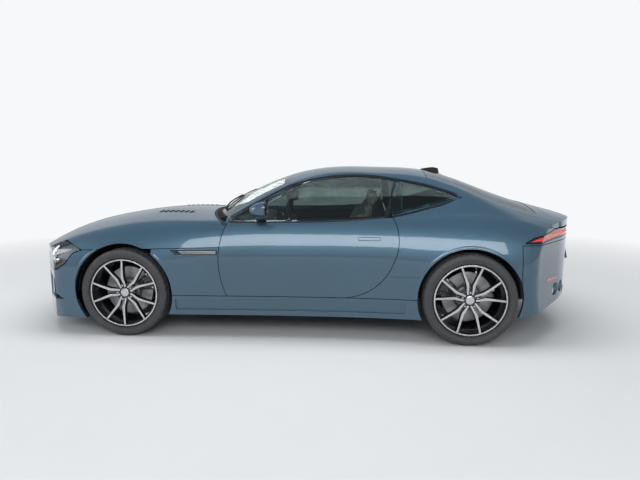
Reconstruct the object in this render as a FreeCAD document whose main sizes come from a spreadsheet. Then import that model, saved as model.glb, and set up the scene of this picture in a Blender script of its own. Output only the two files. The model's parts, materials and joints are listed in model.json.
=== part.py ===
"""Two-seat coupe car as an assembly of panels, glass, running gear, wheels and cabin pieces.

Frame: +X to the nose, +Y to the car's left, +Z up, millimetres, origin on the ground at mid-length.
"""
import FreeCAD, Part
import math
import os
from functools import lru_cache

from FreeCAD import Placement, Rotation, Vector

doc = FreeCAD.newDocument("Coupe")

# Driving sizes: alias, value in millimetres or degrees.
SIZES = (
    ("body_length", 4470), ("wheel_base", 2622), ("front_overhang", 900),
    ("track_front", 1585), ("track_rear", 1627), ("hub_height", 343),
    ("tyre_radius", 343), ("tyre_width_front", 255), ("tyre_width_rear", 295),
    ("rim_radius", 262), ("rim_lip", 10), ("rim_wall", 8), ("spoke_count", 5),
    ("arch_radius_front", 385), ("arch_radius_rear", 380), ("liner_gap", 8), ("liner_wall", 6),
    ("liner_inner_front", 478), ("liner_inner_rear", 560), ("liner_outer", 838),
    ("disc_radius", 188), ("disc_thickness", 30), ("hub_radius", 42),
    ("kingpin_offset", 60), ("kingpin_radius", 14),
    ("panel_gap", 5), ("skin_thickness", 30), ("door_thickness", 120), ("pillar_depth", 42),
    ("glass_thickness", 6), ("glass_inset", 3),
    ("hull_floor", 130), ("sill_top", 330), ("sill_bottom", 178), ("sill_inner", 740),
    ("recess_depth", 14), ("pad_length", 80), ("pad_width", 50), ("pad_drop", 8), ("pad_from_middle", 790),
    ("split_height", 703), ("split_from", 800), ("split_slope", 1.72),
    ("floor_height", 170), ("floor_thickness", 24), 
    ("tunnel_width", 260), ("tunnel_height", 230),
    ("engine_length", 720), ("engine_width", 560), ("engine_height", 520),
    ("seat_offset", 385), ("seat_width", 510), ("steering_wheel_radius", 180),
    ("lamp_depth", 60),
)

sheet = doc.addObject("Spreadsheet::Sheet", "Sizes")
for row, (alias, value) in enumerate(SIZES, start=1):
    sheet.set("A%d" % row, alias)
    sheet.set("B%d" % row, str(value))
    sheet.setAlias("B%d" % row, alias)
doc.recompute()


def size(alias):
    """Value of one cell of the sheet."""
    return float(sheet.get(alias))


FRONT_AXLE = size("body_length") / 2 - size("front_overhang")
REAR_AXLE = FRONT_AXLE - size("wheel_base")
HUB = size("hub_height")
GAP = size("panel_gap")
WIDE = 1200.0

# Lower body, one row per cross section. The waist is the widest point; one arc runs down from it,
# one runs up to a rounded shoulder, and the crown is a flat arc over the top.
# x, waist_y, waist_z, lower_r, upper_r, shoulder_r, crown_z, crown_r
HULL_ROWS = (
    (2330, 850, 470, 900, 200, 60, 610, 2300),
    (2071, 885, 480, 1000, 240, 70, 765, 2600),
    (1868, 912, 500, 1400, 310, 80, 840, 2900),
    (1600, 930, 530, 2000, 370, 90, 897, 3500),
    (1263, 935, 560, 2500, 400, 90, 940, 4300),
    (800, 920, 590, 3000, 470, 70, 939, 6500),
    (0, 900, 600, 3000, 563, 50, 932, 9000),
    (-650, 915, 600, 3000, 545, 60, 962, 9000),
    (-1287, 961, 560, 2500, 582, 90, 1006, 7000),
    (-1800, 925, 590, 1500, 420, 90, 962, 4000),
    (-2330, 850, 560, 1100, 300, 80, 880, 2600),
)

# Cabin top, one row per cross section: side arc through the belt point at its lean, then shoulder
# and crown arcs.
# x, crown_z, crown_r, belt_y, belt_z, lean_deg
CABIN_ROWS = (
    (800, 902, 2100, 770, 880, 34),
    (526, 1071, 2100, 800, 913, 33),
    (154, 1235, 2100, 803, 913, 30.5),
    (-180, 1304, 2500, 803, 916, 29.3),
    (-650, 1309, 2500, 790, 936, 30),
    (-978, 1291, 2300, 770, 960, 31),
    (-1456, 1151, 2000, 745, 990, 36),
    (-1985, 976, 2500, 720, 890, 42),
    (-2330, 858, 2600, 690, 800, 45),
)
CABIN_SIDE_RADIUS = 1200.0
CABIN_SHOULDER = 110.0
CABIN_FOOT = 620.0
LEAST_SHOULDER = 12.0


def fillet_centre(side, side_radius, crown, crown_radius):
    """Outer crossing of two circles in a cross section, where the shoulder arc has its centre."""
    apart = crown - side
    along = (side_radius ** 2 - crown_radius ** 2 + apart.Length ** 2) / (2 * apart.Length)
    off = math.sqrt(side_radius ** 2 - along ** 2)
    unit = Vector(apart).normalize()
    normal = Vector(0, -unit.z, unit.y)
    crossings = [side + unit * along + normal * off, side + unit * along - normal * off]
    return max(crossings, key=lambda point: point.y)


def toward(start, through, distance):
    """Point at a distance from start on the ray through another point."""
    return start + (through - start).normalize() * distance


def mirrored(point):
    return Vector(point.x, -point.y, point.z)


def arc(start, middle, end):
    return Part.Arc(start, middle, end).toShape()


def section(x, foot, joints, side, side_radius, crown_z, crown_radius, shoulder):
    """Closed cross section: floor line, side arcs, shoulders and crown, mirrored about Y = 0.

    joints lists the arcs below the side arc as (start, middle, end), from the foot up.
    """
    crown = Vector(x, 0, crown_z - crown_radius)
    centre = fillet_centre(side, side_radius - shoulder, crown, crown_radius - shoulder)
    side_end = toward(side, centre, side_radius)
    crown_end = toward(crown, centre, crown_radius)
    shoulder_middle = toward(centre, (side_end + crown_end) * 0.5, shoulder)
    side_start = joints[-1][2] if joints else foot
    side_middle = toward(side, (side_start + side_end) * 0.5, side_radius)
    arcs = list(joints) + [(side_start, side_middle, side_end),
                           (side_end, shoulder_middle, crown_end)]
    edges = [Part.LineSegment(mirrored(foot), foot).toShape()]
    edges += [arc(*points) for points in arcs]
    edges.append(arc(crown_end, Vector(x, 0, crown_z), mirrored(crown_end)))
    edges += [arc(mirrored(end), mirrored(middle), mirrored(start))
              for start, middle, end in reversed(arcs)]
    return Part.Wire(edges)


def hull_section(row, inset):
    x, waist_y, waist_z, lower_r, upper_r, shoulder_r, crown_z, crown_r = row
    lower = Vector(x, waist_y - lower_r, waist_z)
    side = Vector(x, waist_y - upper_r, waist_z)
    floor = size("hull_floor") + inset
    reach = math.sqrt((lower_r - inset) ** 2 - (waist_z - floor) ** 2)
    foot = Vector(x, lower.y + reach, floor)
    waist = Vector(x, waist_y - inset, waist_z)
    middle = toward(lower, (foot + waist) * 0.5, lower_r - inset)
    return section(x, foot, [(foot, middle, waist)], side, upper_r - inset,
                   crown_z - inset, crown_r - inset, max(shoulder_r - inset, LEAST_SHOULDER))


def cabin_section(row, inset):
    x, crown_z, crown_r, belt_y, belt_z, lean = row
    lean = math.radians(lean)
    side = Vector(x, belt_y - CABIN_SIDE_RADIUS * math.cos(lean),
                  belt_z - CABIN_SIDE_RADIUS * math.sin(lean))
    radius = CABIN_SIDE_RADIUS - inset
    foot = Vector(x, side.y + math.sqrt(radius ** 2 - (CABIN_FOOT - side.z) ** 2), CABIN_FOOT)
    return section(x, foot, [], side, radius, crown_z - inset, crown_r - inset,
                   max(CABIN_SHOULDER - inset, LEAST_SHOULDER))


def closed(points, arcs=()):
    """Wire through points; arcs maps the index of a side's first point to its middle point."""
    arcs = dict(arcs)
    edges = []
    for index, start in enumerate(points):
        end = points[(index + 1) % len(points)]
        if index in arcs:
            edges.append(arc(start, arcs[index], end))
        else:
            edges.append(Part.LineSegment(start, end).toShape())
    return Part.Wire(edges)


def plan_prism(points, arcs=(), low=0.0, high=1500.0):
    """Solid with the outline given in plan, as (x, y), between two heights."""
    wire = closed([Vector(x, y, low) for x, y in points],
                  {key: Vector(x, y, low) for key, (x, y) in dict(arcs).items()})
    return Part.Face(wire).extrude(Vector(0, 0, high - low))


def side_prism(points, arcs=(), left=WIDE, right=-WIDE):
    """Solid with the outline given in side view, as (x, z), between two widths."""
    wire = closed([Vector(x, right, z) for x, z in points],
                  {key: Vector(x, right, z) for key, (x, z) in dict(arcs).items()})
    return Part.Face(wire).extrude(Vector(0, left - right, 0))


def ends_plan(inset):
    """Plan outline of nose and tail with their rounded corners."""
    nose = size("body_length") / 2 - inset
    tail = -nose
    side = WIDE - inset
    return plan_prism(
        [(nose - 135, 620), (nose - 290, 820), (nose - 560, side), (tail + 700, side),
         (tail + 420, 850), (tail + 225, 620), (tail + 225, -620), (tail + 420, -850),
         (tail + 700, -side), (nose - 560, -side), (nose - 290, -820), (nose - 135, -620)],
        {11: (nose, 0), 5: (tail, 0)})


def ends_profile(inset):
    """Side outline of nose and tail: chin, nose, deck lip, lamp panel and rear bumper."""
    nose = size("body_length") / 2 - inset
    tail = -nose
    return side_prism(
        [(nose - 60, 100), (nose - 30, 700), (nose, 780), (nose, 1400), (tail - 5, 1400),
         (tail, 850), (tail + 50, 640), (tail, 520), (tail + 8, 430), (tail + 55, 330),
         (tail + 230, 215), (tail + 230, 100)],
        {0: (nose, 450)})


def loft(rows, cross_section, inset):
    """Solid through the cross sections of some rows, inside the skin by the inset."""
    return Part.makeLoft([cross_section(row, inset) for row in rows], True, False)


def skin_block(rows, cross_section, inset):
    """The same solid with the rounded ends of the car."""
    return loft(rows, cross_section, inset).common(ends_plan(inset)).common(ends_profile(inset))


@lru_cache(maxsize=None)
def hull_at(inset):
    """Lower body inside its skin by the inset."""
    return skin_block(HULL_ROWS, hull_section, inset)


@lru_cache(maxsize=None)
def cabin_at(inset):
    """Cabin top above the belt line, inside its skin by the inset."""
    return skin_block(CABIN_ROWS, cabin_section, inset).common(side_cut((BELT, {})))


SKIN = size("skin_thickness")
TAIL = -size("body_length") / 2
BELT = [(900, 870), (560, 880), (300, 880), (-640, 900), (-1000, 930), (-1456, 900), (-1985, 850),
        (-2400, 780), (-2400, 1500), (900, 1500)]

parts = []


def keep(name, shape):
    """Add a sub-part to the document with its finished shape."""
    item = doc.addObject("Part::Feature", name)
    item.Shape = shape
    item.Label = name
    parts.append(item)
    return item


def mirror_y(shape):
    return shape.mirror(Vector(0, 0, 0), Vector(0, 1, 0))


def keep_pair(name, shape):
    """Left-hand piece and its mirror image as two sub-parts."""
    keep(name + "_left", shape)
    keep(name + "_right", mirror_y(shape))


def both_sides(shape):
    """Left-hand piece and its mirror image as one shape of two solids."""
    return Part.makeCompound([shape, mirror_y(shape)])


def block(x_from, x_to, y_from, y_to, z_from, z_to):
    return Part.makeBox(x_to - x_from, y_to - y_from, z_to - z_from, Vector(x_from, y_from, z_from))


def rod(start, end, radius):
    """Round bar between two points."""
    return Part.makeCylinder(radius, (end - start).Length, start, end - start)


def joined(shapes):
    return shapes[0].fuse(shapes[1:])


def largest(shape):
    """Main solid of a cut, without the slivers beside it."""
    return max(shape.Solids, key=lambda solid: solid.Volume)


def joined_pair(middle, side_pieces):
    """Middle piece fused with left-hand pieces and their mirror images."""
    return joined([middle] + side_pieces + [mirror_y(piece) for piece in side_pieces])


def outline(points, arcs, grow, to_vector):
    """Closed wire in a plane, moved outwards by grow."""
    wire = closed([to_vector(*point) for point in points],
                  {key: to_vector(*point) for key, point in arcs.items()})
    return wire.makeOffset2D(grow) if grow else wire


def side_cut(shape_outline, grow=0.0, left=WIDE, right=-WIDE):
    """Solid with an outline given in side view."""
    wire = outline(*shape_outline, grow, lambda x, z: Vector(x, right, z))
    return Part.Face(wire).extrude(Vector(0, left - right, 0))


def plan_cut(shape_outline, grow=0.0, low=700.0, high=1500.0):
    """Solid with an outline given in plan."""
    wire = outline(*shape_outline, grow, lambda x, y: Vector(x, y, low))
    return Part.Face(wire).extrude(Vector(0, 0, high - low))


def front_cut(shape_outline, grow=0.0, start=1700.0, end=2400.0):
    """Solid with an outline given in front view."""
    wire = outline(*shape_outline, grow, lambda y, z: Vector(start, y, z))
    return Part.Face(wire).extrude(Vector(end - start, 0, 0))


# Outlines of the panels: points, then the middle points of the sides that are arcs.
DOOR = ([(500, 1000), (518, 909), (527, 335), (-335, 335), (-725, 606), (-716, 946), (-705, 1000)],
        {1: (577, 700), 3: (-590, 420), 4: (-764, 790)})
DOOR_GLASS = ([(520, 860), (505, 918), (72, 1147), (-748, 1200), (-676, 946), (-660, 860)],
              {2: (-330, 1226)})
QUARTER_GLASS = ([(-762, 1199), (-1222, 1082), (-1090, 1036), (-787, 962), (-690, 948)],
                 {0: (-1000, 1154)})
HEADLAMP = ([(1661, 673), (1815, 737), (1935, 690), (2180, 640), (2180, 528), (1960, 516),
             (1860, 524), (1790, 570), (1732, 650)], {})
TAIL_LAMP = ([(-1668, 764), (-1735, 797), (-1940, 842), (-2300, 846), (-2300, 788), (-1930, 776),
              (-1763, 762)], {})
SCUTTLE = ([(562, 830), (562, -830), (200, -830), (200, 830)], {0: (790, 0)})
WINDSCREEN = ([(540, 728), (540, -728), (84, -552), (84, 552)], {0: (790, 0), 2: (122, 0)})
TAILGATE = ([(-1004, 540), (-1004, -540), (-1500, -640), (-2400, -640), (-2400, 640),
             (-1500, 640)], {})
REAR_GLASS = ([(-1190, 500), (-1190, -500), (-1500, -560), (-1850, -540), (-1850, 540),
               (-1500, 560)], {})
GRILLE = ([(-440, 612), (-478, 585), (-440, 400), (-415, 382), (415, 382), (440, 400), (478, 585), (440, 612)],
          {0: (-468, 605), 2: (-433, 387), 4: (433, 387), 6: (468, 605)})
INTAKE = ([(640, 440), (640, 262), (900, 285), (900, 440)], {})
WING_VENT = ([(955, 686), (592, 690), (592, 648), (905, 644)], {})
VENT_BLADE = ([(892, 674), (600, 677), (600, 668), (880, 665)], {})

SPLIT_DROP = math.tan(math.radians(size("split_slope")))


def split_side(above, shift=0.0):
    """Solid above or below the seam under the bonnet's sides."""
    far = 1500 if above else 0
    line = [(x, size("split_height") - (x - size("split_from")) * SPLIT_DROP + shift)
            for x in (300, 2400)]
    return side_cut(([line[0], line[1], (2400, far), (300, far)], {}))


def arch(radius, axle, y_from=0.0, y_to=WIDE):
    return Part.makeCylinder(radius, y_to - y_from, Vector(axle, y_from, HUB), Vector(0, 1, 0))


arch_front = arch(size("arch_radius_front"), FRONT_AXLE, -WIDE, WIDE)
arch_rear = arch(size("arch_radius_rear"), REAR_AXLE)

# Master solids of the front: everything ahead of the windscreen pillars.
FRONT_END = block(430, 2400, -WIDE, WIDE, 0, 1500)
SEAT_GAP = 0.3
LAMP_FLANGE = 8.0
hull = hull_at(0)
hull_in = hull_at(SKIN)
hull_lamp = hull_at(size("lamp_depth"))
hull_seat = hull_at(SKIN + SEAT_GAP)
front = hull.common(FRONT_END)
front_skin = front.cut(hull_in)
nose_zone = block(1400, 2400, -WIDE, WIDE, 0, 1000)
nose_skin = front_skin.common(nose_zone)
door_hole = side_cut(DOOR, GAP)
headlamp_side = block(1500, 2400, 560, WIDE, 0, 1000)
headlamp_hole = side_cut(HEADLAMP, GAP, WIDE, 555)

bonnet = front_skin.common(split_side(True)).cut(plan_cut(SCUTTLE, GAP))
bonnet = bonnet.cut([door_hole, arch_front, headlamp_hole, mirror_y(headlamp_hole)])
keep("bonnet", bonnet)

intake = front_cut(INTAKE)
front_bumper = nose_skin.common(split_side(False, -GAP))
front_bumper = front_bumper.cut([arch_front, headlamp_hole, mirror_y(headlamp_hole),
                                 front_cut(GRILLE), intake, mirror_y(intake)])
keep("front_bumper", front_bumper)

# Grille and intake panels, each a curved plate with rows of slots; every other row is shifted.
GRILLE_DEPTH = 12.0
SLOT_LENGTH, SLOT_HEIGHT, SLOT_RIB = 60.0, 18.0, 14.0


def slots(y_from, y_to, z_from, z_to):
    """Rows of through slots, seen from the front, between two widths and two heights."""
    made = []
    z, row = z_from, 0
    while z + SLOT_HEIGHT <= z_to:
        y = y_from + (row % 2) * (SLOT_LENGTH + SLOT_RIB) / 2
        while y + SLOT_LENGTH <= y_to:
            made.append(block(1700, 2400, y, y + SLOT_LENGTH, z, z + SLOT_HEIGHT))
            y += SLOT_LENGTH + SLOT_RIB
        z, row = z + SLOT_HEIGHT + SLOT_RIB, row + 1
    return made


grille_skin = hull_in.common(nose_zone).cut(hull_at(SKIN + GRILLE_DEPTH))
grille_plate = grille_skin.common(front_cut(GRILLE, 15)).cut(slots(-440, 440, 392, 606))
intake_panel = grille_skin.common(front_cut(INTAKE, 12, 1850)).cut(slots(652, 880, 294, 432))
keep("grille", Part.makeCompound([grille_plate, intake_panel, mirror_y(intake_panel)]))

lens = front.common(side_cut(HEADLAMP, 0, WIDE, 560))
flange = hull_seat.common(side_cut(HEADLAMP, LAMP_FLANGE, WIDE, 560)).common(split_side(False, -GAP))
keep("headlamps", both_sides(lens.fuse(flange).cut(hull_lamp)))

wing_zone = block(500, 1100, 0, WIDE, size("sill_top") + GAP, 1000)
wing = front_skin.common(wing_zone).common(split_side(False, -GAP)).cut([door_hole, arch_front])
VENT_PLATE = 10.0
vent_back = hull_at(SKIN - VENT_PLATE).cut(hull_in).common(side_cut(WING_VENT, 0.0, WIDE, 0))
vent_blade = hull_at(2).cut(hull_in).common(side_cut(VENT_BLADE, 0, WIDE, 0))
wing = wing.cut(side_cut(WING_VENT, 0, WIDE, 0))
keep("front_wings", both_sides(joined([wing, vent_back, vent_blade])))

# Heights of the recessed band along the sills.
SILL_RECESS = (220.0, 300.0)

# Stations of the jack pads along the sills, front and rear.
JACK_STATIONS = (800.0, -780.0)

# Doors: a skin on the outline and a thick inner part set in from it.
DOOR_STEP = 18.0
DOOR_INNER = 700.0
left_middle = hull.common(block(-1000, 700, 0, WIDE, 0, 1100))
hull_deep = loft(HULL_ROWS[4:9], hull_section, size("door_thickness"))
door = left_middle.common(side_cut(DOOR, 0, WIDE, DOOR_INNER)).cut(hull_deep)
door_rim = side_cut(DOOR, 1).cut(side_cut(DOOR, -DOOR_STEP))
keep_pair("door", door.cut(door_rim.common(hull_in)))

sill = hull.common(block(-960, 1010, size("sill_inner"), WIDE, size("sill_bottom"), size("sill_top")))
recess = block(-820, 930, size("sill_inner"), WIDE, *SILL_RECESS)
sill = sill.cut(recess.cut(hull_at(size("recess_depth"))))
pad_half = size("pad_length") / 2
jack_pads = [block(x - pad_half, x + pad_half, size("pad_from_middle"), size("pad_from_middle") + size("pad_width"),
                   size("sill_bottom") - size("pad_drop"), size("sill_bottom")) for x in JACK_STATIONS]
keep("sills", both_sides(joined([sill.cut([arch_front, arch_rear])] + jack_pads)))


# Cabin top: glass as an outer shell, roof and pillars as a deeper one with rebates for the glass.
def cabin_block(inset, zone):
    """Cabin top inside its skin by the inset, within a zone."""
    return cabin_at(inset).common(zone)


GLASS_FACE = size("glass_inset")
GLASS_BACK = GLASS_FACE + size("glass_thickness")
cabin = cabin_at(0)
cabin_in = cabin_at(size("pillar_depth"))
glass_skin = cabin_at(GLASS_FACE).cut(cabin_at(GLASS_BACK))
glass_lip = cabin.cut(cabin_at(GLASS_BACK + SEAT_GAP))

door_glass = glass_skin.common(side_cut(DOOR_GLASS, 0, WIDE, 0)).cut(left_middle)
keep_pair("door_glass", door_glass)
door_glass_hole = side_cut(DOOR_GLASS, GAP)

front_cabin = block(-999, 545, -WIDE, WIDE, 0, 1500)
roof_zone = side_cut(([(545, 840), (545, 1500), (-999, 1500), (-999, 1090), (0, 1090), (0, 930),
                       (440, 930), (440, 840)], {}))
roof = cabin.common(roof_zone).cut([cabin_in, hull])
lip = glass_lip.common(front_cabin)
roof = roof.cut([plan_cut(WINDSCREEN, 4).common(lip), plan_cut(WINDSCREEN, -18),
                 side_cut(QUARTER_GLASS, 4).common(lip), side_cut(QUARTER_GLASS, -14),
                 door_glass_hole])
POST_INSET = 15.0
post_zone = side_cut(([(-696, 1230), (-800, 1230), (-800, 930), (-724, 930)], {}))
post_skin = cabin_block(POST_INSET, post_zone).cut([cabin_in, hull])
posts = post_skin.cut([side_cut(QUARTER_GLASS, 4).common(lip)]).Solids
HINGE_PAD = 14.0
pad_core = cabin_at(size("pillar_depth") + HINGE_PAD)
hinge_pads = []
for y in (-380, 340):
    hinge_pads.append(cabin_block(size("pillar_depth"), block(-999, -960, y, y + 40, 1100, 1500)).cut(pad_core))
    hinge_pads.append(cabin_block(size("pillar_depth") + SEAT_GAP,
                                  block(-1040, -999, y, y + 40, 1100, 1500)).cut(pad_core))
keep("roof", joined([largest(roof)] + posts + hinge_pads))
keep("windscreen", glass_skin.common(plan_cut(WINDSCREEN)).cut(front))
keep("quarter_glass", both_sides(glass_skin.common(side_cut(QUARTER_GLASS, 0, WIDE, 0))))

scuttle = front_skin.common(plan_cut(SCUTTLE, 0, 850)).cut([cabin, door_hole])
keep("scuttle", scuttle)

# Rear end: haunches, tailgate and bumper are cut from one shell of body and cabin.
REAR_END = block(-2500, -320, -WIDE, WIDE, 0, 1500)
rear_outer = hull.common(REAR_END).fuse(cabin.common(REAR_END))
rear_inner = hull_in.common(REAR_END).fuse(cabin_in.common(REAR_END))
LEFT_SIDE = block(-2500, 900, 0, WIDE, 0, 1500)
rear_shell = rear_outer.common(LEFT_SIDE).cut(rear_inner)
LIP_HEIGHT = 850.0
PANEL_HALF_WIDTH = 382.0
quarter_zone = side_cut(([(-320, size("sill_top") + GAP), (-600, 1089), (-1000, 1089), (-1000, 1500),
                          (-2400, 1500), (-2400, 750), (-1640, 750),
                          (-1640, size("sill_top") + GAP)], {}), 0, WIDE, 330)
beside_panel = block(-2500, -1000, PANEL_HALF_WIDTH, WIDE, 0, LIP_HEIGHT)
tailgate_hole = plan_cut(TAILGATE, GAP, 745).cut(beside_panel.translated(Vector(0, GAP / 2, -GAP / 2)))
lip = glass_lip.common(REAR_END)
quarter = rear_shell.common(quarter_zone).cut([
    door_hole, door_glass_hole, arch_rear, tailgate_hole, side_cut(TAIL_LAMP, GAP, WIDE, 385),
    side_cut(QUARTER_GLASS, 4).common(lip), side_cut(QUARTER_GLASS, -14)])
keep_pair("quarter_panel", largest(quarter.cut(post_skin)))

tail_lens = hull.common(side_cut(TAIL_LAMP, 0, WIDE, 390))
tail_flange = hull_seat.common(side_cut(TAIL_LAMP, LAMP_FLANGE, WIDE, 390))
keep("tail_lamps", both_sides(tail_lens.fuse(tail_flange).cut([hull_lamp, tailgate_hole])))

tailgate_zone = plan_cut(TAILGATE, 0, 750).cut(
    beside_panel.translated(Vector(0, -GAP / 2, GAP / 2)))
tailgate_half = rear_shell.common(tailgate_zone)
tailgate_half = tailgate_half.cut([plan_cut(REAR_GLASS, 4).common(lip), plan_cut(REAR_GLASS, -18)])
keep("tailgate", joined([tailgate_half, mirror_y(tailgate_half)]))
keep("tailgate_glass", glass_skin.common(plan_cut(REAR_GLASS)))

# Exhaust tips, four in two pairs, y of their axes.
TIP_AXES = (530, 640)
TIP_HEIGHT = 372.0
TIP_RADIUS = 44.0
TIP_WALL = 4.0
TIP_LENGTH = 230.0
tips = [Vector(TAIL + 6e-4 * y * y + 25, y, TIP_HEIGHT) for y in TIP_AXES]
DIFFUSER_HALF = 470.0
VALANCE_TOP = 430.0
UNDER_LINE = ((-1600, 205), (-2180, 300))
DIFFUSER_DEPTH = 34.0
under_rear = side_cut(([UNDER_LINE[0], UNDER_LINE[1], (-2400, 300), (-2400, 0), (-1600, 0)], {}))
(front_x, front_z), (back_x, back_z) = UNDER_LINE
diffuser_outline = ([(front_x - 100, front_z + 16), (back_x, back_z), (back_x, back_z + DIFFUSER_DEPTH),
                     (front_x - 100, front_z + 16 + DIFFUSER_DEPTH)], {})
rear_bumper = rear_shell.common(block(-2500, -1645, 0, WIDE, 0, 745))
rear_bumper = rear_bumper.cut([arch_rear, under_rear,
                               block(-2400, -1500, -WIDE, DIFFUSER_HALF + SEAT_GAP, 0,
                                     VALANCE_TOP)]
                              + [rod(tip - Vector(200, 0, 0), tip + Vector(400, 0, 0), TIP_RADIUS + GAP)
                                 for tip in tips])
keep("rear_bumper", joined([rear_bumper, mirror_y(rear_bumper)]))
VALANCE_INSET = 6.0
valance = hull_at(VALANCE_INSET).cut(hull_in).common(
    block(-2400, -1900, -DIFFUSER_HALF, DIFFUSER_HALF, back_z, VALANCE_TOP - SEAT_GAP))
fins = [block(-2150, -1760, y - 3, y + 3, 215, 320) for y in (-330, -110, 110, 330)]
fins = [fin.cut(under_rear.translated(Vector(0, 0, -24))) for fin in fins]
diffuser = joined([side_cut(diffuser_outline, 0, DIFFUSER_HALF, -DIFFUSER_HALF), valance] + fins).common(hull)
keep("diffuser", diffuser)
silencer = block(-1975, -1760, -610, 610, 330, 430)
silencer = silencer.makeFillet(30, silencer.Edges)
hangers = [block(-1880, -1850, y, y + 20, 425, 589.7) for y in (-420, 400)]
pipes = [rod(tip, tip + Vector(TIP_LENGTH, 0, 0), TIP_RADIUS).cut(
    rod(tip, tip + Vector(TIP_LENGTH - 60, 0, 0), TIP_RADIUS - TIP_WALL)) for tip in tips]
keep("exhausts", joined([silencer] + hangers + pipes + [mirror_y(pipe) for pipe in pipes]))

# Mirrors on their stalks.
mirror_cap = block(205, 325, 900, 1020, 938, 1058)
mirror_cap = mirror_cap.makeFillet(34, mirror_cap.Edges)
stalk = block(235, 300, 812, 950, 893, 946).cut(left_middle)
keep_pair("mirror", joined([mirror_cap, stalk]))


# Running gear, each wheel about its own centre with the outer side at +y.
def ring(outer, inner, y_from, y_to):
    """Tube about the y axis."""
    tube = Part.makeCylinder(outer, y_to - y_from, Vector(0, y_from, 0), Vector(0, 1, 0))
    return tube.cut(Part.makeCylinder(inner, y_to - y_from, Vector(0, y_from, 0), Vector(0, 1, 0)))


def drum(radius, y_from, y_to):
    return Part.makeCylinder(radius, y_to - y_from, Vector(0, y_from, 0), Vector(0, 1, 0))


def turned(points):
    """Solid turned about the y axis from an outline of (y, radius)."""
    wire = closed([Vector(0, y, radius) for y, radius in points])
    return Part.Face(wire).revolve(Vector(0, 0, 0), Vector(0, 1, 0), 360)


RIM_MARGIN = 7.0
RIM_FLANGE = 272.0
RIM_SEAT = 254.0
RIM_INNER = 246.0
FACE_DEPTH = 12.0
SPOKE_DEPTH = 34.0
# One leg of a spoke pair: radius, offset from the pair's middle line, half width.
LEG_STATIONS = ((58, 20, 8.5), (102, 22, 10.5), (120, 25, 12), (150, 37, 10), (240, 73, 8))
LUG_CIRCLE = 57.0
LUG_RADIUS = 9.0
CAP_RADIUS = 32.0
DISC_IN = -20.0
DISC_OUT = 10.0
STUB_END = -35.0
RUNNING_GAP = 0.3


def wheel(width, shaft_end):
    """Rim, paired spokes, hub, brake disc and stub shaft in one casting-like solid."""
    rim_half = width / 2 - RIM_MARGIN
    flange = size("rim_wall")
    barrel = turned([(rim_half, RIM_FLANGE), (rim_half - flange, RIM_FLANGE), (rim_half - flange, RIM_SEAT),
                     (flange - rim_half, RIM_SEAT), (flange - rim_half, RIM_FLANGE),
                     (-rim_half, RIM_FLANGE), (-rim_half, RIM_INNER), (rim_half, RIM_INNER)])
    face = rim_half - FACE_DEPTH
    pieces = [barrel, drum(68, face - 60, face - 20), drum(80, DISC_IN, face - 40), drum(CAP_RADIUS, face - 20, face - 12),
              drum(size("disc_radius"), DISC_IN, DISC_OUT), drum(size("hub_radius"), STUB_END, DISC_IN)]
    count = int(size("spoke_count"))
    for number in range(count):
        for hand in (1, -1):
            edges = ([(radius, offset + half) for radius, offset, half in LEG_STATIONS]
                     + [(radius, offset - half) for radius, offset, half in reversed(LEG_STATIONS)])
            leg = Part.Face(closed([Vector(u, face - SPOKE_DEPTH, v * hand) for u, v in edges]))
            pieces.append(leg.extrude(Vector(0, SPOKE_DEPTH, 0)))
            pieces[-1].rotate(Vector(0, 0, 0), Vector(0, 1, 0), 360.0 / count * number)
        lug = Part.makeCylinder(LUG_RADIUS, 20, Vector(LUG_CIRCLE, face - 30, 0), Vector(0, 1, 0))
        lug.rotate(Vector(0, 0, 0), Vector(0, 1, 0), 360.0 / count * number)
        pieces.append(lug)
    if shaft_end < STUB_END:
        pieces.append(drum(18, shaft_end, STUB_END))
    return joined(pieces)


def tyre(width):
    """Tyre with flat tread, sloped shoulders and bulging walls, seated on the rim."""
    radius = size("tyre_radius")
    half = width / 2
    bead = half - RIM_MARGIN - size("rim_wall") - RUNNING_GAP
    seat = RIM_SEAT + RUNNING_GAP
    outer = [(bead, seat), (bead, RIM_FLANGE + 3), (half, RIM_FLANGE + 28), (half - 20, radius)]
    wire = closed([Vector(0, y, reach) for y, reach in outer + [(-y, reach) for y, reach in reversed(outer)]])
    return Part.Face(wire).revolve(Vector(0, 0, 0), Vector(0, 1, 0), 360)


SHAFT_INNER = 130.0
for end, axle, track, width in (("front", FRONT_AXLE, size("track_front"), size("tyre_width_front")),
                                ("rear", REAR_AXLE, size("track_rear"), size("tyre_width_rear"))):
    centre = Vector(axle, track / 2, HUB)
    shaft_end = SHAFT_INNER - track / 2 if end == "rear" else STUB_END
    keep_pair("wheel_" + end, wheel(width, shaft_end).translated(centre))
    keep_pair("tyre_" + end, tyre(width).translated(centre))


def caliper(toward_nose):
    """Block that straddles the brake disc, with its bracket on the inner side."""
    radius_in, radius_out, groove = 112.0, 224.0, 3.0
    whole = ring(radius_out, radius_in, -52, 38)
    slot = ring(size("disc_radius") + 4, radius_in - 1, DISC_IN - groove, DISC_OUT + groove)
    wedge = Part.Face(closed([Vector(0, -60, 0), Vector(-300, -60, 20), Vector(-240, -60, 230)]))
    piece = whole.cut(slot).common(wedge.extrude(Vector(0, 120, 0)))
    if toward_nose:
        piece = piece.mirror(Vector(0, 0, 0), Vector(1, 0, 0))
    return piece


def upright(bore, toward_nose):
    """Hub carrier with arms up and down, pins and its brake caliper."""
    inner, outer = -76.0, STUB_END - RUNNING_GAP
    hand = 1 if toward_nose else -1
    arm = block(-24, 24, inner, outer - 6, -168, 163)
    bracket = block(-170, -20, -58, -44, 16, 84)
    if toward_nose:
        bracket = bracket.mirror(Vector(0, 0, 0), Vector(1, 0, 0))
    pieces = [drum(62, inner, outer), arm, bracket, caliper(toward_nose)]
    solid = joined(pieces)
    return solid.cut(drum(bore, inner - 1, outer + 1)) if bore else solid


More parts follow.
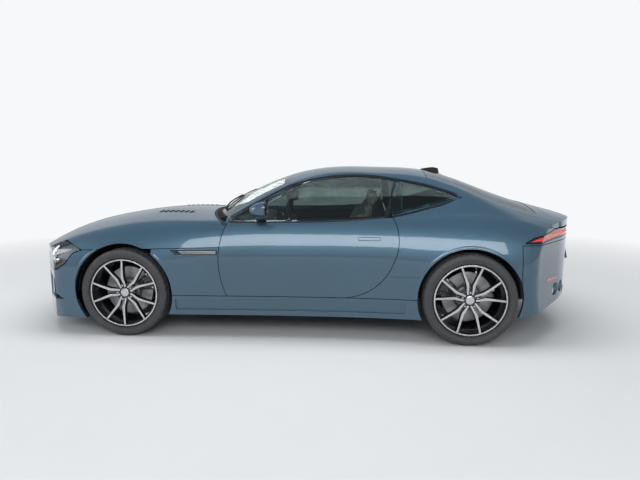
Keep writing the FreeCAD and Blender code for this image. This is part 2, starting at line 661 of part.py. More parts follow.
PIN_RADIUS = size("kingpin_radius")
pin_y = -size("kingpin_offset")
pins = [Part.makeCylinder(PIN_RADIUS, 30, Vector(0, pin_y, z)) for z in (-197, 161)]
knuckle = joined([upright(0, False)] + pins)
keep_pair("knuckle", knuckle.translated(Vector(FRONT_AXLE, size("track_front") / 2, HUB)))
rear_upright = upright(20, True)
keep("rear_uprights", both_sides(rear_upright.translated(Vector(REAR_AXLE, size("track_rear") / 2, HUB))))


def eye(axle, y, z):
    """Ball joint eye round an upright's pin."""
    centre = Vector(axle, y, z)
    return Part.makeCylinder(30, 22, centre).cut(Part.makeCylinder(PIN_RADIUS + RUNNING_GAP, 22, centre))


# Front suspension: crossmember, turrets and wishbones that end in eyes round the kingpins.
kingpin_y = size("track_front") / 2 - size("kingpin_offset")
front_arms = []
for z, spread, inner_y, inner_z in ((HUB - 196, 130, 330, 205), (HUB + 169, 90, 440, HUB + 186)):
    hub_eye = eye(FRONT_AXLE, kingpin_y, z)
    for hand in (1, -1):
        start = Vector(FRONT_AXLE + spread * hand, inner_y, inner_z)
        end = Vector(FRONT_AXLE, kingpin_y - 6, z + 11)
        bar = rod(start, end, 11)
        front_arms.append(bar.cut(Part.makeCylinder(PIN_RADIUS + 4, 60, Vector(FRONT_AXLE, kingpin_y, z - 20))))
    front_arms.append(hub_eye)
turret = block(FRONT_AXLE - 100, FRONT_AXLE + 100, 400, 468, 190, HUB + 215)
crossmember = block(FRONT_AXLE - 160, FRONT_AXLE + 160, -400, 400, 180, 230)
keep("front_subframe", joined_pair(crossmember, [turret] + front_arms))

# Rear suspension: cradle, final drive and arms seated on the fixed uprights.
upright_face = size("track_rear") / 2 - 76
rear_arms = []
for z, spread, inner_y in ((HUB - 150, 160, 420), (HUB + 120, 100, 480)):
    for hand in (1, -1):
        start = Vector(REAR_AXLE + spread * hand, inner_y, z)
        rear_arms.append(rod(start, Vector(REAR_AXLE + 10 * hand, upright_face + 12, z), 12))
cradle = block(REAR_AXLE - 200, REAR_AXLE + 200, -430, 430, HUB - 175, HUB - 125)
cradle = cradle.fuse(block(REAR_AXLE - 110, REAR_AXLE + 130, -120, 120, HUB - 125, HUB + 80))
LUGGAGE_HEIGHT = 590.0
tower = block(REAR_AXLE - 130, REAR_AXLE + 130, 430, 500, HUB - 175, LUGGAGE_HEIGHT - SEAT_GAP)
shaft_hole = Part.makeCylinder(24, 2 * WIDE, Vector(REAR_AXLE, -WIDE, HUB), Vector(0, 1, 0))
seated = rear_upright.translated(Vector(REAR_AXLE, size("track_rear") / 2, HUB))
rear_frame = joined_pair(cradle, [tower] + rear_arms)
keep("rear_subframe", rear_frame.cut([seated, mirror_y(seated), shaft_hole]))


# Wheel housings inside the arches.
def liner(radius, axle, inner_y, drop):
    """Half-round liner with its inner wall, cut away at the bottom."""
    outer = radius + size("liner_gap") + size("liner_wall")
    shape = arch(outer, axle, inner_y - size("liner_wall"), size("liner_outer"))
    shape = shape.cut(arch(outer - size("liner_wall"), axle, inner_y, size("liner_outer") + 1))
    shape = shape.cut(block(axle - 600, axle + 600, 0, WIDE, -100, drop))
    return shape.cut(block(axle - 130, axle + 130, inner_y - 40, inner_y + 5, 0, HUB + 230))


liner_front = liner(size("arch_radius_front"), FRONT_AXLE, size("liner_inner_front"), HUB)
liner_rear = liner(size("arch_radius_rear"), REAR_AXLE, size("liner_inner_rear"), HUB)
liners = [liner_front, mirror_y(liner_front), liner_rear, mirror_y(liner_rear)]
keep("wheel_housings", Part.makeCompound(liners))

# Floor, firewall and luggage floor.
floor_low = size("floor_height") - size("floor_thickness")
floor_half = size("sill_inner") - SEAT_GAP
tunnel_half = size("tunnel_width") / 2
floor_plate = block(-950, 940, -floor_half, floor_half, floor_low, size("floor_height"))
tunnel = block(-640, 690, -tunnel_half, tunnel_half, size("floor_height"),
               size("floor_height") + size("tunnel_height"))
channel = block(-640, 690, 8 - tunnel_half, tunnel_half - 8, 0, size("floor_height") + size("tunnel_height") - 8)
keep("floor_pan", floor_plate.fuse(tunnel).cut(channel))
FIREWALL = (690, 712)
RAIL = (335, 399.7)
housing_face = size("liner_inner_front") - size("liner_wall") - SEAT_GAP
firewall = joined([block(*FIREWALL, -700, 700, size("floor_height"), 840),
                   block(*FIREWALL, -500, 500, 840, 960)]).common(hull_seat)
HINGE_HEIGHTS = (430, 700)
left_frame = [
    block(600, FIREWALL[0], 680, 745, size("floor_height"), 840).cut(
        block(590, 700, floor_half, WIDE, 0, size("sill_top") + SEAT_GAP)),
    block(FIREWALL[0], 2060, *RAIL, 330, 420),
    block(1750, 1800, *RAIL, 420, 640),
    block(1750, 1800, RAIL[0], 900, 605, 640).common(hull_at(size("lamp_depth") + SEAT_GAP)),
    block(2020, 2200, 500, 590, 420, 490).common(hull_seat),
    block(2040, 2200, 520, 560, 480, 760).common(hull_seat),
    block(620, 680, 740, 950, 470, 530).common(hull_seat),
]
left_frame += [block(FRONT_AXLE + shift, FRONT_AXLE + shift + 40, RAIL[0], housing_face, 380, 420)
               for shift in (-270, 230)]
left_frame += [block(480, 640, 700, 850, z, z + 50).cut(side_cut(DOOR, SEAT_GAP - DOOR_STEP))
               for z in HINGE_HEIGHTS]
keep("front_structure", joined_pair(firewall.fuse(block(2020, 2060, -600, 600, 420, 490)), left_frame))
rear_plate = block(-2080, -760, -553.7, 553.7, LUGGAGE_HEIGHT, LUGGAGE_HEIGHT + 16)
luggage_side = [block(-885, -760, 500, WIDE, LUGGAGE_HEIGHT, LUGGAGE_HEIGHT + 16).common(hull_seat),
                block(-2100, -1700, 500, WIDE, LUGGAGE_HEIGHT, LUGGAGE_HEIGHT + 16).common(hull_seat)]
rear_wall = block(-776, -760, -WIDE, WIDE, size("floor_height"), 900).common(hull_seat)
rear_wall = rear_wall.cut(block(-800, -700, 700, WIDE, 0, size("sill_top") + GAP)).cut(
    block(-800, -700, -WIDE, -700, 0, size("sill_top") + GAP))
keep("load_floor", joined_pair(rear_wall.fuse(rear_plate.common(hull_seat)), luggage_side))

engine = doc.addObject("Part::Box", "engine_block")
for field, alias in (("Length", "engine_length"), ("Width", "engine_width"), ("Height", "engine_height")):
    engine.setExpression(field, "Sizes." + alias)
engine.setExpression("Placement.Base.x", "730")
engine.setExpression("Placement.Base.y", "-Sizes.engine_width / 2")
engine.setExpression("Placement.Base.z", "230.3")
engine.Label = "engine_block"
parts.append(engine)

# Cabin pieces.
dash = side_cut(([(689.7, 520), (689.7, 850), (430, 872), (330, 850), (285, 770), (360, 660), (430, 520)], {}),
                0, 665, -665)
console = block(-470, 450, -112, 112, size("floor_height") + size("tunnel_height"), 560)
STEERING_CENTRE = Vector(170, -size("seat_offset"), 800)
COLUMN_TILT = 68.0
COLUMN_END = 80.0
column_axis = Vector(math.sin(math.radians(COLUMN_TILT)), 0, -math.cos(math.radians(COLUMN_TILT)))
cowl = rod(STEERING_CENTRE + column_axis * (COLUMN_END + SEAT_GAP), STEERING_CENTRE + column_axis * 190, 44)
keep("dashboard", joined([dash, console, cowl]))

seat = side_cut(([(170, 200), (185, 420), (120, 465), (-250, 425), (-330, 470), (-560, 980),
                  (-590, 1090), (-670, 1085), (-655, 900), (-480, 360), (-430, 200)], {}),
                0, size("seat_offset") + size("seat_width") / 2, size("seat_offset") - size("seat_width") / 2)
seat_base = block(-350, 120, size("seat_offset") - 210, size("seat_offset") + 210, size("floor_height"), 200)
keep_pair("seat", joined([seat, seat_base]))

rim_turn = Part.makeTorus(size("steering_wheel_radius") - 14, 14)
hub_turn = Part.makeCylinder(55, 40, Vector(0, 0, -20))
spokes = [Part.makeBox(size("steering_wheel_radius") - 20, 36, 14, Vector(0, -18, -7)) for _ in range(3)]
for number, spoke in enumerate(spokes):
    spoke.rotate(Vector(0, 0, 0), Vector(0, 0, 1), 90 + 90 * number)
steering = joined([rim_turn, hub_turn, Part.makeCylinder(24, COLUMN_END, Vector(0, 0, -COLUMN_END))] + spokes)
steering.rotate(Vector(0, 0, 0), Vector(0, 1, 0), -COLUMN_TILT)
keep("steering_wheel", steering.translated(STEERING_CENTRE))

doc.recompute()
os.makedirs("parts", exist_ok=True)
for item in parts:
    shape = item.Shape
    if shape.isNull() or not shape.isValid() or "Invalid" in item.State or "Error" in item.State:
        raise RuntimeError("bad shape: " + item.Label)
for item in parts:
    item.Shape.exportStep("parts/" + item.Label + ".step")
    print(item.Label, len(item.Shape.Solids), len(item.Shape.Faces), round(item.Shape.Volume / 1e6, 2))
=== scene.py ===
"""Looks of the two-seat coupe: finishes, wheels, lamps, trim and cabin dressed on its CAD frame."""
from __future__ import annotations

import json
import logging
import math
from dataclasses import dataclass
from enum import Enum
from typing import Any, ClassVar, Iterable, Sequence

import bmesh
import bpy
import numpy as np
from mathutils import Matrix, Vector
from mathutils.bvhtree import BVHTree

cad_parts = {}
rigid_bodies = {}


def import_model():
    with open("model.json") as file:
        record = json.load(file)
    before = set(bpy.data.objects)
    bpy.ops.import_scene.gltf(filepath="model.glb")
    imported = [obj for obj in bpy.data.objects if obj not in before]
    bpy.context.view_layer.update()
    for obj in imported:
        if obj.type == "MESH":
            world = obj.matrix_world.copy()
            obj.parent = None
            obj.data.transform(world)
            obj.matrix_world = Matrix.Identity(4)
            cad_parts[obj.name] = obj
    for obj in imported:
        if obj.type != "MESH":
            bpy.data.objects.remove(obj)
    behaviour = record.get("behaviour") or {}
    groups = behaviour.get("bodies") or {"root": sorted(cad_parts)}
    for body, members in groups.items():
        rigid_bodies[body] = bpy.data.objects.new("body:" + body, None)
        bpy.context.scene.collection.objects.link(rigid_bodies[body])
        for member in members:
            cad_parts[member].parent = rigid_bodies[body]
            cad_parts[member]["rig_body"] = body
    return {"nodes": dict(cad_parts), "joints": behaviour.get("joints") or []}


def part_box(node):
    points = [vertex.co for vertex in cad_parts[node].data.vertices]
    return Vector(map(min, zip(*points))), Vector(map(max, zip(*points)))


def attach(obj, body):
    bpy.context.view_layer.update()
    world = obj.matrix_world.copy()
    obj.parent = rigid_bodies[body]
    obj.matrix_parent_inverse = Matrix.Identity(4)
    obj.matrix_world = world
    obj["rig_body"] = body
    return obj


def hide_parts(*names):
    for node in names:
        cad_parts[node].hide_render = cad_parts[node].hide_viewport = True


LOG = logging.getLogger("coupe")
MM = 0.001
Colour = tuple[float, float, float]
Flat = tuple[float, float]
Place = tuple[float, float, float]
Spine = tuple[float, float, float, float, float]
Maker = bmesh.types.BMesh
Socket = bpy.types.NodeSocket


class Grain(Enum):
    """Fine relief of a surface."""

    PEBBLE = "pebble"
    HIDE = "hide"
    WEAVE = "weave"
    BRUSHED = "brushed"


class Side(Enum):
    """Half of the car, as the sign of its Y."""

    LEFT = 1
    RIGHT = -1

    @property
    def word(self) -> str:
        """Name of the side in lower case."""
        return self.name.lower()


class Look(Enum):
    """Direction from which an outline is laid on the body: inward ray, then the outline's axes."""

    LEFT = ((0, -1, 0), (1, 0, 0), (0, 0, 1))
    RIGHT = ((0, 1, 0), (1, 0, 0), (0, 0, 1))
    FRONT = ((-1, 0, 0), (0, 1, 0), (0, 0, 1))
    REAR = ((1, 0, 0), (0, 1, 0), (0, 0, 1))
    ABOVE = ((0, 0, -1), (1, 0, 0), (0, 1, 0))

    @staticmethod
    def side(side: Side) -> Look:
        """The look at one side of the car."""
        return Look.LEFT if side is Side.LEFT else Look.RIGHT


class Graph:
    """Node tree of one material, built around its Principled shader."""

    def __init__(self, name: str) -> None:
        """Make the material.

        Args:
            name: Name of the material.
        """
        self.material = bpy.data.materials.new(name)
        self.material.use_nodes = True
        self.nodes = self.material.node_tree.nodes
        self.shader = self.nodes["Principled BSDF"]
        self.place = self.node("ShaderNodeTexCoord").outputs["Object"]

    def node(self, kind: str, **values: Any) -> bpy.types.Node:
        """Add a node and set its properties.

        Args:
            kind: Type of the node.
            values: Its properties.

        Returns:
            The node.
        """
        made = self.nodes.new(kind)
        for key, value in values.items():
            setattr(made, key, value)
        return made

    def link(self, source: Socket, target: Socket) -> None:
        """Join two sockets."""
        self.material.node_tree.links.new(source, target)

    def noise(self, scale: float, detail: float = 3.0,
              place: Socket | None = None) -> Socket:
        """Noise from 0 to 1.

        Args:
            scale: Cells to a metre.
            detail: Octaves of the noise.
            place: Coordinates to read, the object's own by default.

        Returns:
            The noise's factor.
        """
        made = self.node("ShaderNodeTexNoise")
        made.inputs["Scale"].default_value = scale
        made.inputs["Detail"].default_value = detail
        self.link(place or self.place, made.inputs["Vector"])
        return made.outputs["Fac"]

    def cells(self, scale: float, feature: str = "F1") -> bpy.types.Node:
        """Voronoi cells, scale of them to a metre.

        Args:
            scale: Cells to a metre.
            feature: What the distance measures.

        Returns:
            The node.
        """
        made = self.node("ShaderNodeTexVoronoi", feature=feature)
        made.inputs["Scale"].default_value = scale
        self.link(self.place, made.inputs["Vector"])
        return made

    def stretched(self, along: Sequence[float]) -> Socket:
        """The object's coordinates scaled on each axis.

        Args:
            along: Scale on X, Y and Z.

        Returns:
            The scaled coordinates.
        """
        made = self.node("ShaderNodeMapping")
        made.inputs["Scale"].default_value = along
        self.link(self.place, made.inputs["Vector"])
        return made.outputs["Vector"]

    def axis(self, index: int) -> Socket:
        """One coordinate of the place: 0 for X, 1 for Y, 2 for Z."""
        made = self.node("ShaderNodeSeparateXYZ")
        self.link(self.place, made.inputs[0])
        return made.outputs[index]

    def maths(self, operation: str, *values: Any) -> Socket:
        """One step of arithmetic on sockets or numbers.

        Args:
            operation: Name of the step.
            values: Sockets or numbers.

        Returns:
            The result.
        """
        made = self.node("ShaderNodeMath", operation=operation)
        for index, value in enumerate(values):
            if isinstance(value, (int, float)):
                made.inputs[index].default_value = value
            else:
                self.link(value, made.inputs[index])
        return made.outputs[0]

    def ranged(self, value: Socket, low: float, high: float,
               start: float = 0.0, end: float = 1.0) -> Socket:
        """Map start to end onto low to high, held at both ends.

        Args:
            value: What is mapped.
            low: Result at the start.
            high: Result at the end.
            start: Value that gives low.
            end: Value that gives high.

        Returns:
            The mapped value.
        """
        made = self.node("ShaderNodeMapRange")
        for index, number in enumerate((start, end, low, high), start=1):
            made.inputs[index].default_value = number
        self.link(value, made.inputs[0])
        return made.outputs[0]

    def mixed(self, factor: Socket, first: Any, second: Any) -> Socket:
        """Blend of two colours, each a socket or plain numbers.

        Args:
            factor: Share of the second colour.
            first: First colour.
            second: Second colour.

        Returns:
            The blended colour.
        """
        made = self.node("ShaderNodeMix", data_type="RGBA")
        self.link(factor, made.inputs["Factor"])
        for socket, value in ((made.inputs[6], first), (made.inputs[7], second)):
            if isinstance(value, tuple):
                socket.default_value = (*value, 1.0)
            else:
                self.link(value, socket)
        return made.outputs[2]

    def bump(self, height: Socket, depth: float,
             before: Socket | None = None) -> Socket:
        """Surface relief.

        Args:
            height: Height from 0 to 1.
            depth: Depth in metres.
            before: Normal that this relief is added to.

        Returns:
            The new normal.
        """
        made = self.node("ShaderNodeBump")
        made.inputs["Distance"].default_value = depth
        self.link(height, made.inputs["Height"])
        if before:
            self.link(before, made.inputs["Normal"])
        return made.outputs["Normal"]


MADE: dict[str, bpy.types.Material] = {}


@dataclass(frozen=True)
class Finish:
    """One finish: colour with slow patches, gloss that varies, and a fine grain."""

    name: str
    slot: str
    colour: Colour
    patch: Colour | None = None
    patch_scale: float = 9.0
    metallic: float = 0.0
    roughness: float = 0.5
    spread: float = 0.08
    grain: Grain = Grain.PEBBLE
    grain_scale: float = 700.0
    relief: float = 0.0002
    coat: float = 0.0
    sheen: float = 0.0
    specular: float = 0.5

    def height(self, graph: Graph) -> Socket:
        """Height field of the grain.

        Args:
            graph: The material's graph.

        Returns:
            Height from 0 to 1.
        """
        if self.grain is Grain.HIDE:
            return graph.cells(self.grain_scale, "DISTANCE_TO_EDGE").outputs["Distance"]
        if self.grain is Grain.WEAVE:
            wave = math.tau * self.grain_scale
            rows = [graph.maths("SINE", graph.maths("MULTIPLY", graph.axis(index), wave))
                    for index in range(3)]
            return graph.maths("MULTIPLY", rows[1], graph.maths("ADD", rows[0], rows[2]))
        if self.grain is Grain.BRUSHED:
            return graph.noise(self.grain_scale, 2.0, graph.stretched((1.0, 0.04, 1.0)))
        return graph.noise(self.grain_scale, 4.0)

    def base(self, graph: Graph) -> Socket:
        """Colour with slow patches."""
        second = self.patch or tuple(channel * 0.82 for channel in self.colour)
        return graph.mixed(graph.ranged(graph.noise(self.patch_scale), 0.0, 1.0, 0.35, 0.65),
                           self.colour, second)

    def material(self) -> bpy.types.Material:
        """Build the material once and return it."""
        if self.name in MADE:
            return MADE[self.name]
        graph = Graph(self.name)
        inputs = graph.shader.inputs
        inputs["Metallic"].default_value = self.metallic
        inputs["Coat Weight"].default_value = self.coat
        inputs["Coat Roughness"].default_value = 0.03
        inputs["Sheen Weight"].default_value = self.sheen
        inputs["Specular IOR Level"].default_value = self.specular
        graph.link(self.base(graph), inputs["Base Color"])
        wear = graph.ranged(graph.noise(self.patch_scale * 5), self.roughness - self.spread,
                            self.roughness + self.spread, 0.3, 0.7)
        graph.link(wear, inputs["Roughness"])
        graph.link(graph.bump(self.height(graph), self.relief), inputs["Normal"])
        self.extra(graph)
        MADE[self.name] = graph.material
        return graph.material

    def extra(self, graph: Graph) -> None:
        """Hook for what one kind of finish adds."""


@dataclass(frozen=True)
class Paint(Finish):
    """Metallic clear-coated paint with fine flakes."""

    flake: Colour = (0.09, 0.17, 0.23)

    def base(self, graph: Graph) -> Socket:
        """Colour with single flakes that catch the light.

        Args:
            graph: The material's graph.

        Returns:
            The colour.
        """
        cells = graph.cells(2600.0)
        split = graph.node("ShaderNodeSeparateColor")
        graph.link(cells.outputs["Color"], split.inputs[0])
        glint = graph.ranged(split.outputs[0], 0.0, 0.55, 0.62, 1.0)
        slow = graph.mixed(graph.ranged(graph.noise(1.6), 0.0, 1.0, 0.3, 0.7), self.colour,
                           self.patch or self.colour)
        return graph.mixed(glint, slow, self.flake)


@dataclass(frozen=True)
class Glass(Finish):
    """Tinted glass that lets light through."""

    tint: Colour = (0.52, 0.6, 0.58)

    def extra(self, graph: Graph) -> None:
        """Make the shader see-through for sight and for light.

        Args:
            graph: The material's graph.
        """
        inputs = graph.shader.inputs
        inputs["Transmission Weight"].default_value = 1.0
        inputs["IOR"].default_value = 1.45
        clear = graph.node("ShaderNodeBsdfTransparent")
        clear.inputs["Color"].default_value = (*self.tint, 1.0)
        path = graph.node("ShaderNodeLightPath")
        mix = graph.node("ShaderNodeMixShader")
        graph.link(path.outputs["Is Shadow Ray"], mix.inputs[0])
        graph.link(graph.shader.outputs[0], mix.inputs[1])
        graph.link(clear.outputs[0], mix.inputs[2])
        graph.link(mix.outputs[0], graph.nodes["Material Output"].inputs["Surface"])


@dataclass(frozen=True)
class Glow(Finish):
    """A light guide that shines softly."""

    strength: float = 1.0

    def extra(self, graph: Graph) -> None:
        """Give the surface its own light.

        Args:
            graph: The material's graph.
        """
        inputs = graph.shader.inputs
        inputs["Emission Color"].default_value = (*self.colour, 1.0)
        inputs["Emission Strength"].default_value = self.strength


PAINT = Paint("teal_paint", "paint", (0.04, 0.096, 0.148), (0.036, 0.084, 0.125), metallic=0.55,
              roughness=0.36, spread=0.03, grain_scale=2400.0, relief=0.000004, coat=1.0)
GLOSS_BLACK = Finish("gloss_black", "black_gloss", (0.006, 0.006, 0.007), roughness=0.12, spread=0.03,
                     relief=0.00001, coat=0.6)
TRIM = Finish("black_trim", "black_trim", (0.018, 0.018, 0.019), roughness=0.55, grain_scale=1500.0,
              relief=0.00015)
GLASS = Glass("window_glass", "glass", (0.3, 0.37, 0.36), roughness=0.02, spread=0.01, relief=0.0)
SCREEN_GLASS = Glass("screen_glass", "glass", (0.8, 0.86, 0.84), roughness=0.02, spread=0.01, relief=0.0,
                     tint=(0.75, 0.8, 0.78))
LENS = Glass("clear_lens", "lamp_clear", (0.95, 0.97, 0.98), roughness=0.02, spread=0.01, relief=0.00002,
             tint=(0.95, 0.96, 0.97))
RED_LENS = Finish("red_lens", "lamp_red", (0.68, 0.03, 0.022), (0.5, 0.015, 0.012), patch_scale=40.0,
                  roughness=0.12, spread=0.04, grain_scale=500.0, relief=0.0002, coat=1.0)
CHROME = Finish("lamp_chrome", "lamp_clear", (0.72, 0.74, 0.77), metallic=1.0, roughness=0.12, spread=0.05,
                grain_scale=300.0, relief=0.0001)
GUIDE = Glow("light_guide", "lamp_clear", (0.9, 0.93, 1.0), roughness=0.3, relief=0.00005, strength=0.9)
MACHINED = Finish("machined_face", "wheel_metal", (0.6, 0.6, 0.62), (0.52, 0.52, 0.54), metallic=0.9,
                  roughness=0.26, spread=0.05, grain=Grain.BRUSHED, grain_scale=1400.0, relief=0.00003,
                  coat=0.4)
WHEEL_BLACK = Finish("wheel_black", "wheel_metal", (0.012, 0.012, 0.013), metallic=0.2, roughness=0.3,
                     spread=0.05, relief=0.00002, coat=0.7)
RUBBER = Finish("tyre_rubber", "tyre", (0.034, 0.035, 0.038), (0.044, 0.044, 0.046), patch_scale=14.0,
                roughness=0.6, spread=0.08, grain_scale=900.0, relief=0.0003)
DISC = Finish("brake_disc", "iron", (0.34, 0.34, 0.345), (0.27, 0.265, 0.26), patch_scale=20.0, metallic=0.85,
              roughness=0.38, grain=Grain.BRUSHED, grain_scale=1800.0, relief=0.00008)
IRON = Finish("cast_iron", "iron", (0.05, 0.05, 0.052), (0.085, 0.06, 0.045), patch_scale=22.0, metallic=0.5,
              roughness=0.62, grain_scale=500.0, relief=0.0006)
CALIPER = Finish("caliper_lacquer", "iron", (0.02, 0.02, 0.022), roughness=0.34, relief=0.00008, coat=0.5)
STEEL = Finish("bright_steel", "exhaust_metal", (0.58, 0.57, 0.55), (0.5, 0.47, 0.43), metallic=1.0,
               roughness=0.2, grain=Grain.BRUSHED, grain_scale=900.0, relief=0.00005)
UNDERSIDE = Finish("underbody_coat", "underbody", (0.02, 0.02, 0.021), (0.035, 0.033, 0.031), roughness=0.7,
                   grain_scale=260.0, relief=0.0008)
ALLOY = Finish("cast_alloy", "alloy", (0.3, 0.3, 0.31), metallic=0.85, roughness=0.5, grain_scale=420.0,
               relief=0.0005)
DARK_HIDE = Finish("dark_leather", "leather_dark", (0.014, 0.014, 0.015), roughness=0.62, grain=Grain.HIDE,
                   grain_scale=520.0, relief=0.0006, sheen=0.1, specular=0.25)
PALE_HIDE = Finish("pale_leather", "leather_pale", (0.44, 0.405, 0.36), (0.38, 0.345, 0.3), roughness=0.5,
                   grain=Grain.HIDE, grain_scale=480.0, relief=0.0006, sheen=0.15)
CARPET = Finish("carpet", "leather_dark", (0.016, 0.016, 0.017), roughness=0.95, grain_scale=1300.0,
                relief=0.003, sheen=0.4)
HEADLINING = Finish("headlining", "leather_dark", (0.05, 0.048, 0.046), roughness=0.92, grain_scale=900.0,
                    relief=0.0001)
# Near-black for gaps and seams; also painted shade on the grille and intake grounds and inside the exhaust
# throats.
SHADOW = Finish("gap_black", "black_trim", (0.004, 0.004, 0.004), roughness=0.8, relief=0.0)
LAMP_FLOOR = Finish("lamp_floor", "lamp_clear", (0.16, 0.17, 0.185), metallic=0.7, roughness=0.38,
                    spread=0.03, grain_scale=900.0, relief=0.00001)
VENT_METAL = Finish("vent_metal", "black_gloss", (0.34, 0.34, 0.35), metallic=0.9, roughness=0.2, spread=0.04,
                    relief=0.00001, coat=0.5)
PLATE = Finish("blank_plate", "black_trim", (0.7, 0.71, 0.7), roughness=0.4, grain_scale=900.0,
               relief=0.00005)
LAMP_GLASS = Finish("lamp_lens", "lamp_clear", (0.3, 0.34, 0.4), metallic=0.3, roughness=0.05, spread=0.02,
                    relief=0.0, coat=1.0)
RED_GLOW = Glow("red_guide", "lamp_red", (0.9, 0.03, 0.02), roughness=0.3, relief=0.00005, strength=0.7)
SILVERED = Finish("mirror_silver", "glass", (0.82, 0.84, 0.86), metallic=1.0, roughness=0.03, spread=0.01,
                  relief=0.0)
STRUT = Finish("painted_steel", "iron", (0.03, 0.032, 0.036), metallic=0.4, roughness=0.35, relief=0.00004,
               coat=0.4)
COVER = Finish("engine_plastic", "black_trim", (0.016, 0.016, 0.017), roughness=0.42, grain_scale=1100.0,
               relief=0.00012)
WEBBING = Finish("seat_belt", "leather_dark", (0.03, 0.03, 0.032), roughness=0.75, grain=Grain.WEAVE,
                 grain_scale=900.0, relief=0.0003)


def mm(x: float, y: float, z: float) -> Vector:
    """Point in metres from millimetres."""
    return Vector((x, y, z)) * MM


def posed(place: Sequence[float], degrees: float, axis: str) -> Matrix:
    """Matrix that turns about an axis, then moves to a place in millimetres."""
    return Matrix.Translation(mm(*place)) @ Matrix.Rotation(math.radians(degrees), 4, axis)


def shown(mesh_maker: Maker, name: str, finishes: Sequence[Finish], body: str,
          angle: float = 32.0) -> bpy.types.Object:
    """Turn a bmesh into a finished piece that rides on a body.

    Args:
        mesh_maker: The bmesh, freed here.
        name: Name of the piece.
        finishes: One finish for each material index used.
        body: CAD body that carries the piece.
        angle: Edges sharper than this stay sharp, in degrees.

    Returns:
        The piece.
    """
    bmesh.ops.remove_doubles(mesh_maker, verts=mesh_maker.verts, dist=1e-6)
    bmesh.ops.recalc_face_normals(mesh_maker, faces=mesh_maker.faces)
    mesh = bpy.data.meshes.new(name)
    mesh_maker.to_mesh(mesh)
    mesh_maker.free()
    mesh.polygons.foreach_set("use_smooth", [True] * len(mesh.polygons))
    mesh.set_sharp_from_angle(angle=math.radians(angle))
    piece = bpy.data.objects.new(name, mesh)
    bpy.context.scene.collection.objects.link(piece)
    for finish in finishes:
        mesh.materials.append(finish.material())
    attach(piece, body)
    return piece


def rings(maker: Maker, loops: Sequence[Sequence[Vector]], closed: bool = True,
          capped: bool = False, index: int = 0) -> None:
    """Skin a row of loops with faces.

    Args:
        maker: The bmesh that gets the faces.
        loops: Loops of equal length, in order.
        closed: Whether each loop closes on itself.
        capped: Whether the first and last loop get a face.
        index: Material index of the faces.
    """
    rows = [[maker.verts.new(point) for point in loop] for loop in loops]
    count = len(rows[0])
    for first, second in zip(rows, rows[1:]):
        for place in range(count if closed else count - 1):
            after = (place + 1) % count
            maker.faces.new((first[place], first[after], second[after], second[place])).material_index = index
    if capped:
        for row in (rows[0], rows[-1]):
            maker.faces.new(row).material_index = index


def lathe(maker: Maker, profile: Sequence[Flat], count: int = 96, index: int = 0) -> None:
    """Turn a profile of (y, radius) about the Y axis, in millimetres.

    Args:
        maker: The bmesh that gets the faces.
        profile: Points of the profile.
        count: Steps round the axis.
        index: Material index of the faces.
    """
    loops = [[mm(radius * math.cos(turn), y, radius * math.sin(turn))
              for turn in (math.tau * step / count for step in range(count))] for y, radius in profile]
    rings(maker, loops, index=index)


def tube(maker: Maker, path: Sequence[Vector], radius: float, sides: int = 10,
         index: int = 0) -> None:
    """Round bar along a path.

    Args:
        maker: The bmesh that gets the bar.
        path: Points of its axis, in metres.
        radius: Its radius in millimetres.
        sides: Faces round the bar.
        index: Material index of the bar.
    """
    radius *= MM
    loops = []
    for number, point in enumerate(path):
        ahead = path[min(number + 1, len(path) - 1)] - path[max(number - 1, 0)]
        turn = ahead.to_track_quat("Z", "Y")
        loops.append([point + turn @ Vector((radius * math.cos(angle), radius * math.sin(angle), 0))
                      for angle in (math.tau * step / sides for step in range(sides))])
    rings(maker, loops, capped=True, index=index)


def rounded(points: Sequence[Flat], radius: float, steps: int = 5) -> list[Flat]:
    """Outline with its corners rounded.

    Args:
        points: Corners in order.
        radius: Radius of each corner, less where a side is short.
        steps: Points to a corner.

    Returns:
        The new outline.
    """
    done = []
    count = len(points)
    for number, corner in enumerate(points):
        here = Vector(corner)
        before, after = Vector(points[number - 1]) - here, Vector(points[(number + 1) % count]) - here
        reach = min(radius, before.length * 0.45, after.length * 0.45)
        start, end = here + before.normalized() * reach, here + after.normalized() * reach
        for step in range(steps + 1):
            share = step / steps
            bend = start * (1 - share) ** 2 + here * (2 * share * (1 - share)) + end * share ** 2
            done.append((bend.x, bend.y))
    return done


def placed(maker: Maker, matrix: Matrix) -> Maker:
    """Move a whole bmesh by a matrix and return it."""
    bmesh.ops.transform(maker, matrix=matrix, verts=maker.verts)
    return maker


def pill(maker: Maker, one: Sequence[float], other: Sequence[float], radius: float,
         index: int = 0, steps: int = 3) -> None:
    """Box with rounded edges between two corners, in millimetres.

    Args:
        maker: The bmesh that gets the box.
        one: One corner.
        other: The corner across from it.
        radius: Radius of the edges.
        index: Material index of the box.
        steps: Faces round an edge.
    """
    made = bmesh.ops.create_cube(maker, size=1.0)["verts"]
    low, high = (mm(*map(pick, one, other)) for pick in (min, max))
    for vert in made:
        vert.co = Vector((low[i] + (high[i] - low[i]) * (vert.co[i] + 0.5) for i in range(3)))
    edges = list({edge for vert in made for edge in vert.link_edges})
    faces = {face for vert in made for face in vert.link_faces}
    result = bmesh.ops.bevel(maker, geom=edges, offset=radius * MM, segments=steps, affect="EDGES",
                             profile=0.5)
    for face in list(result["faces"]) + [face for face in faces if face.is_valid]:
        face.material_index = index


def merge(maker: Maker, part: Maker, matrix: Matrix) -> None:
    """Move a part into another bmesh and free it.

    Args:
        maker: The bmesh that gets the part.
        part: The part, freed here.
        matrix: Where the part goes.
    """
    scratch = bpy.data.meshes.new("part")
    part.to_mesh(scratch)
    part.free()
    scratch.transform(matrix)
    maker.from_mesh(scratch)
    bpy.data.meshes.remove(scratch)


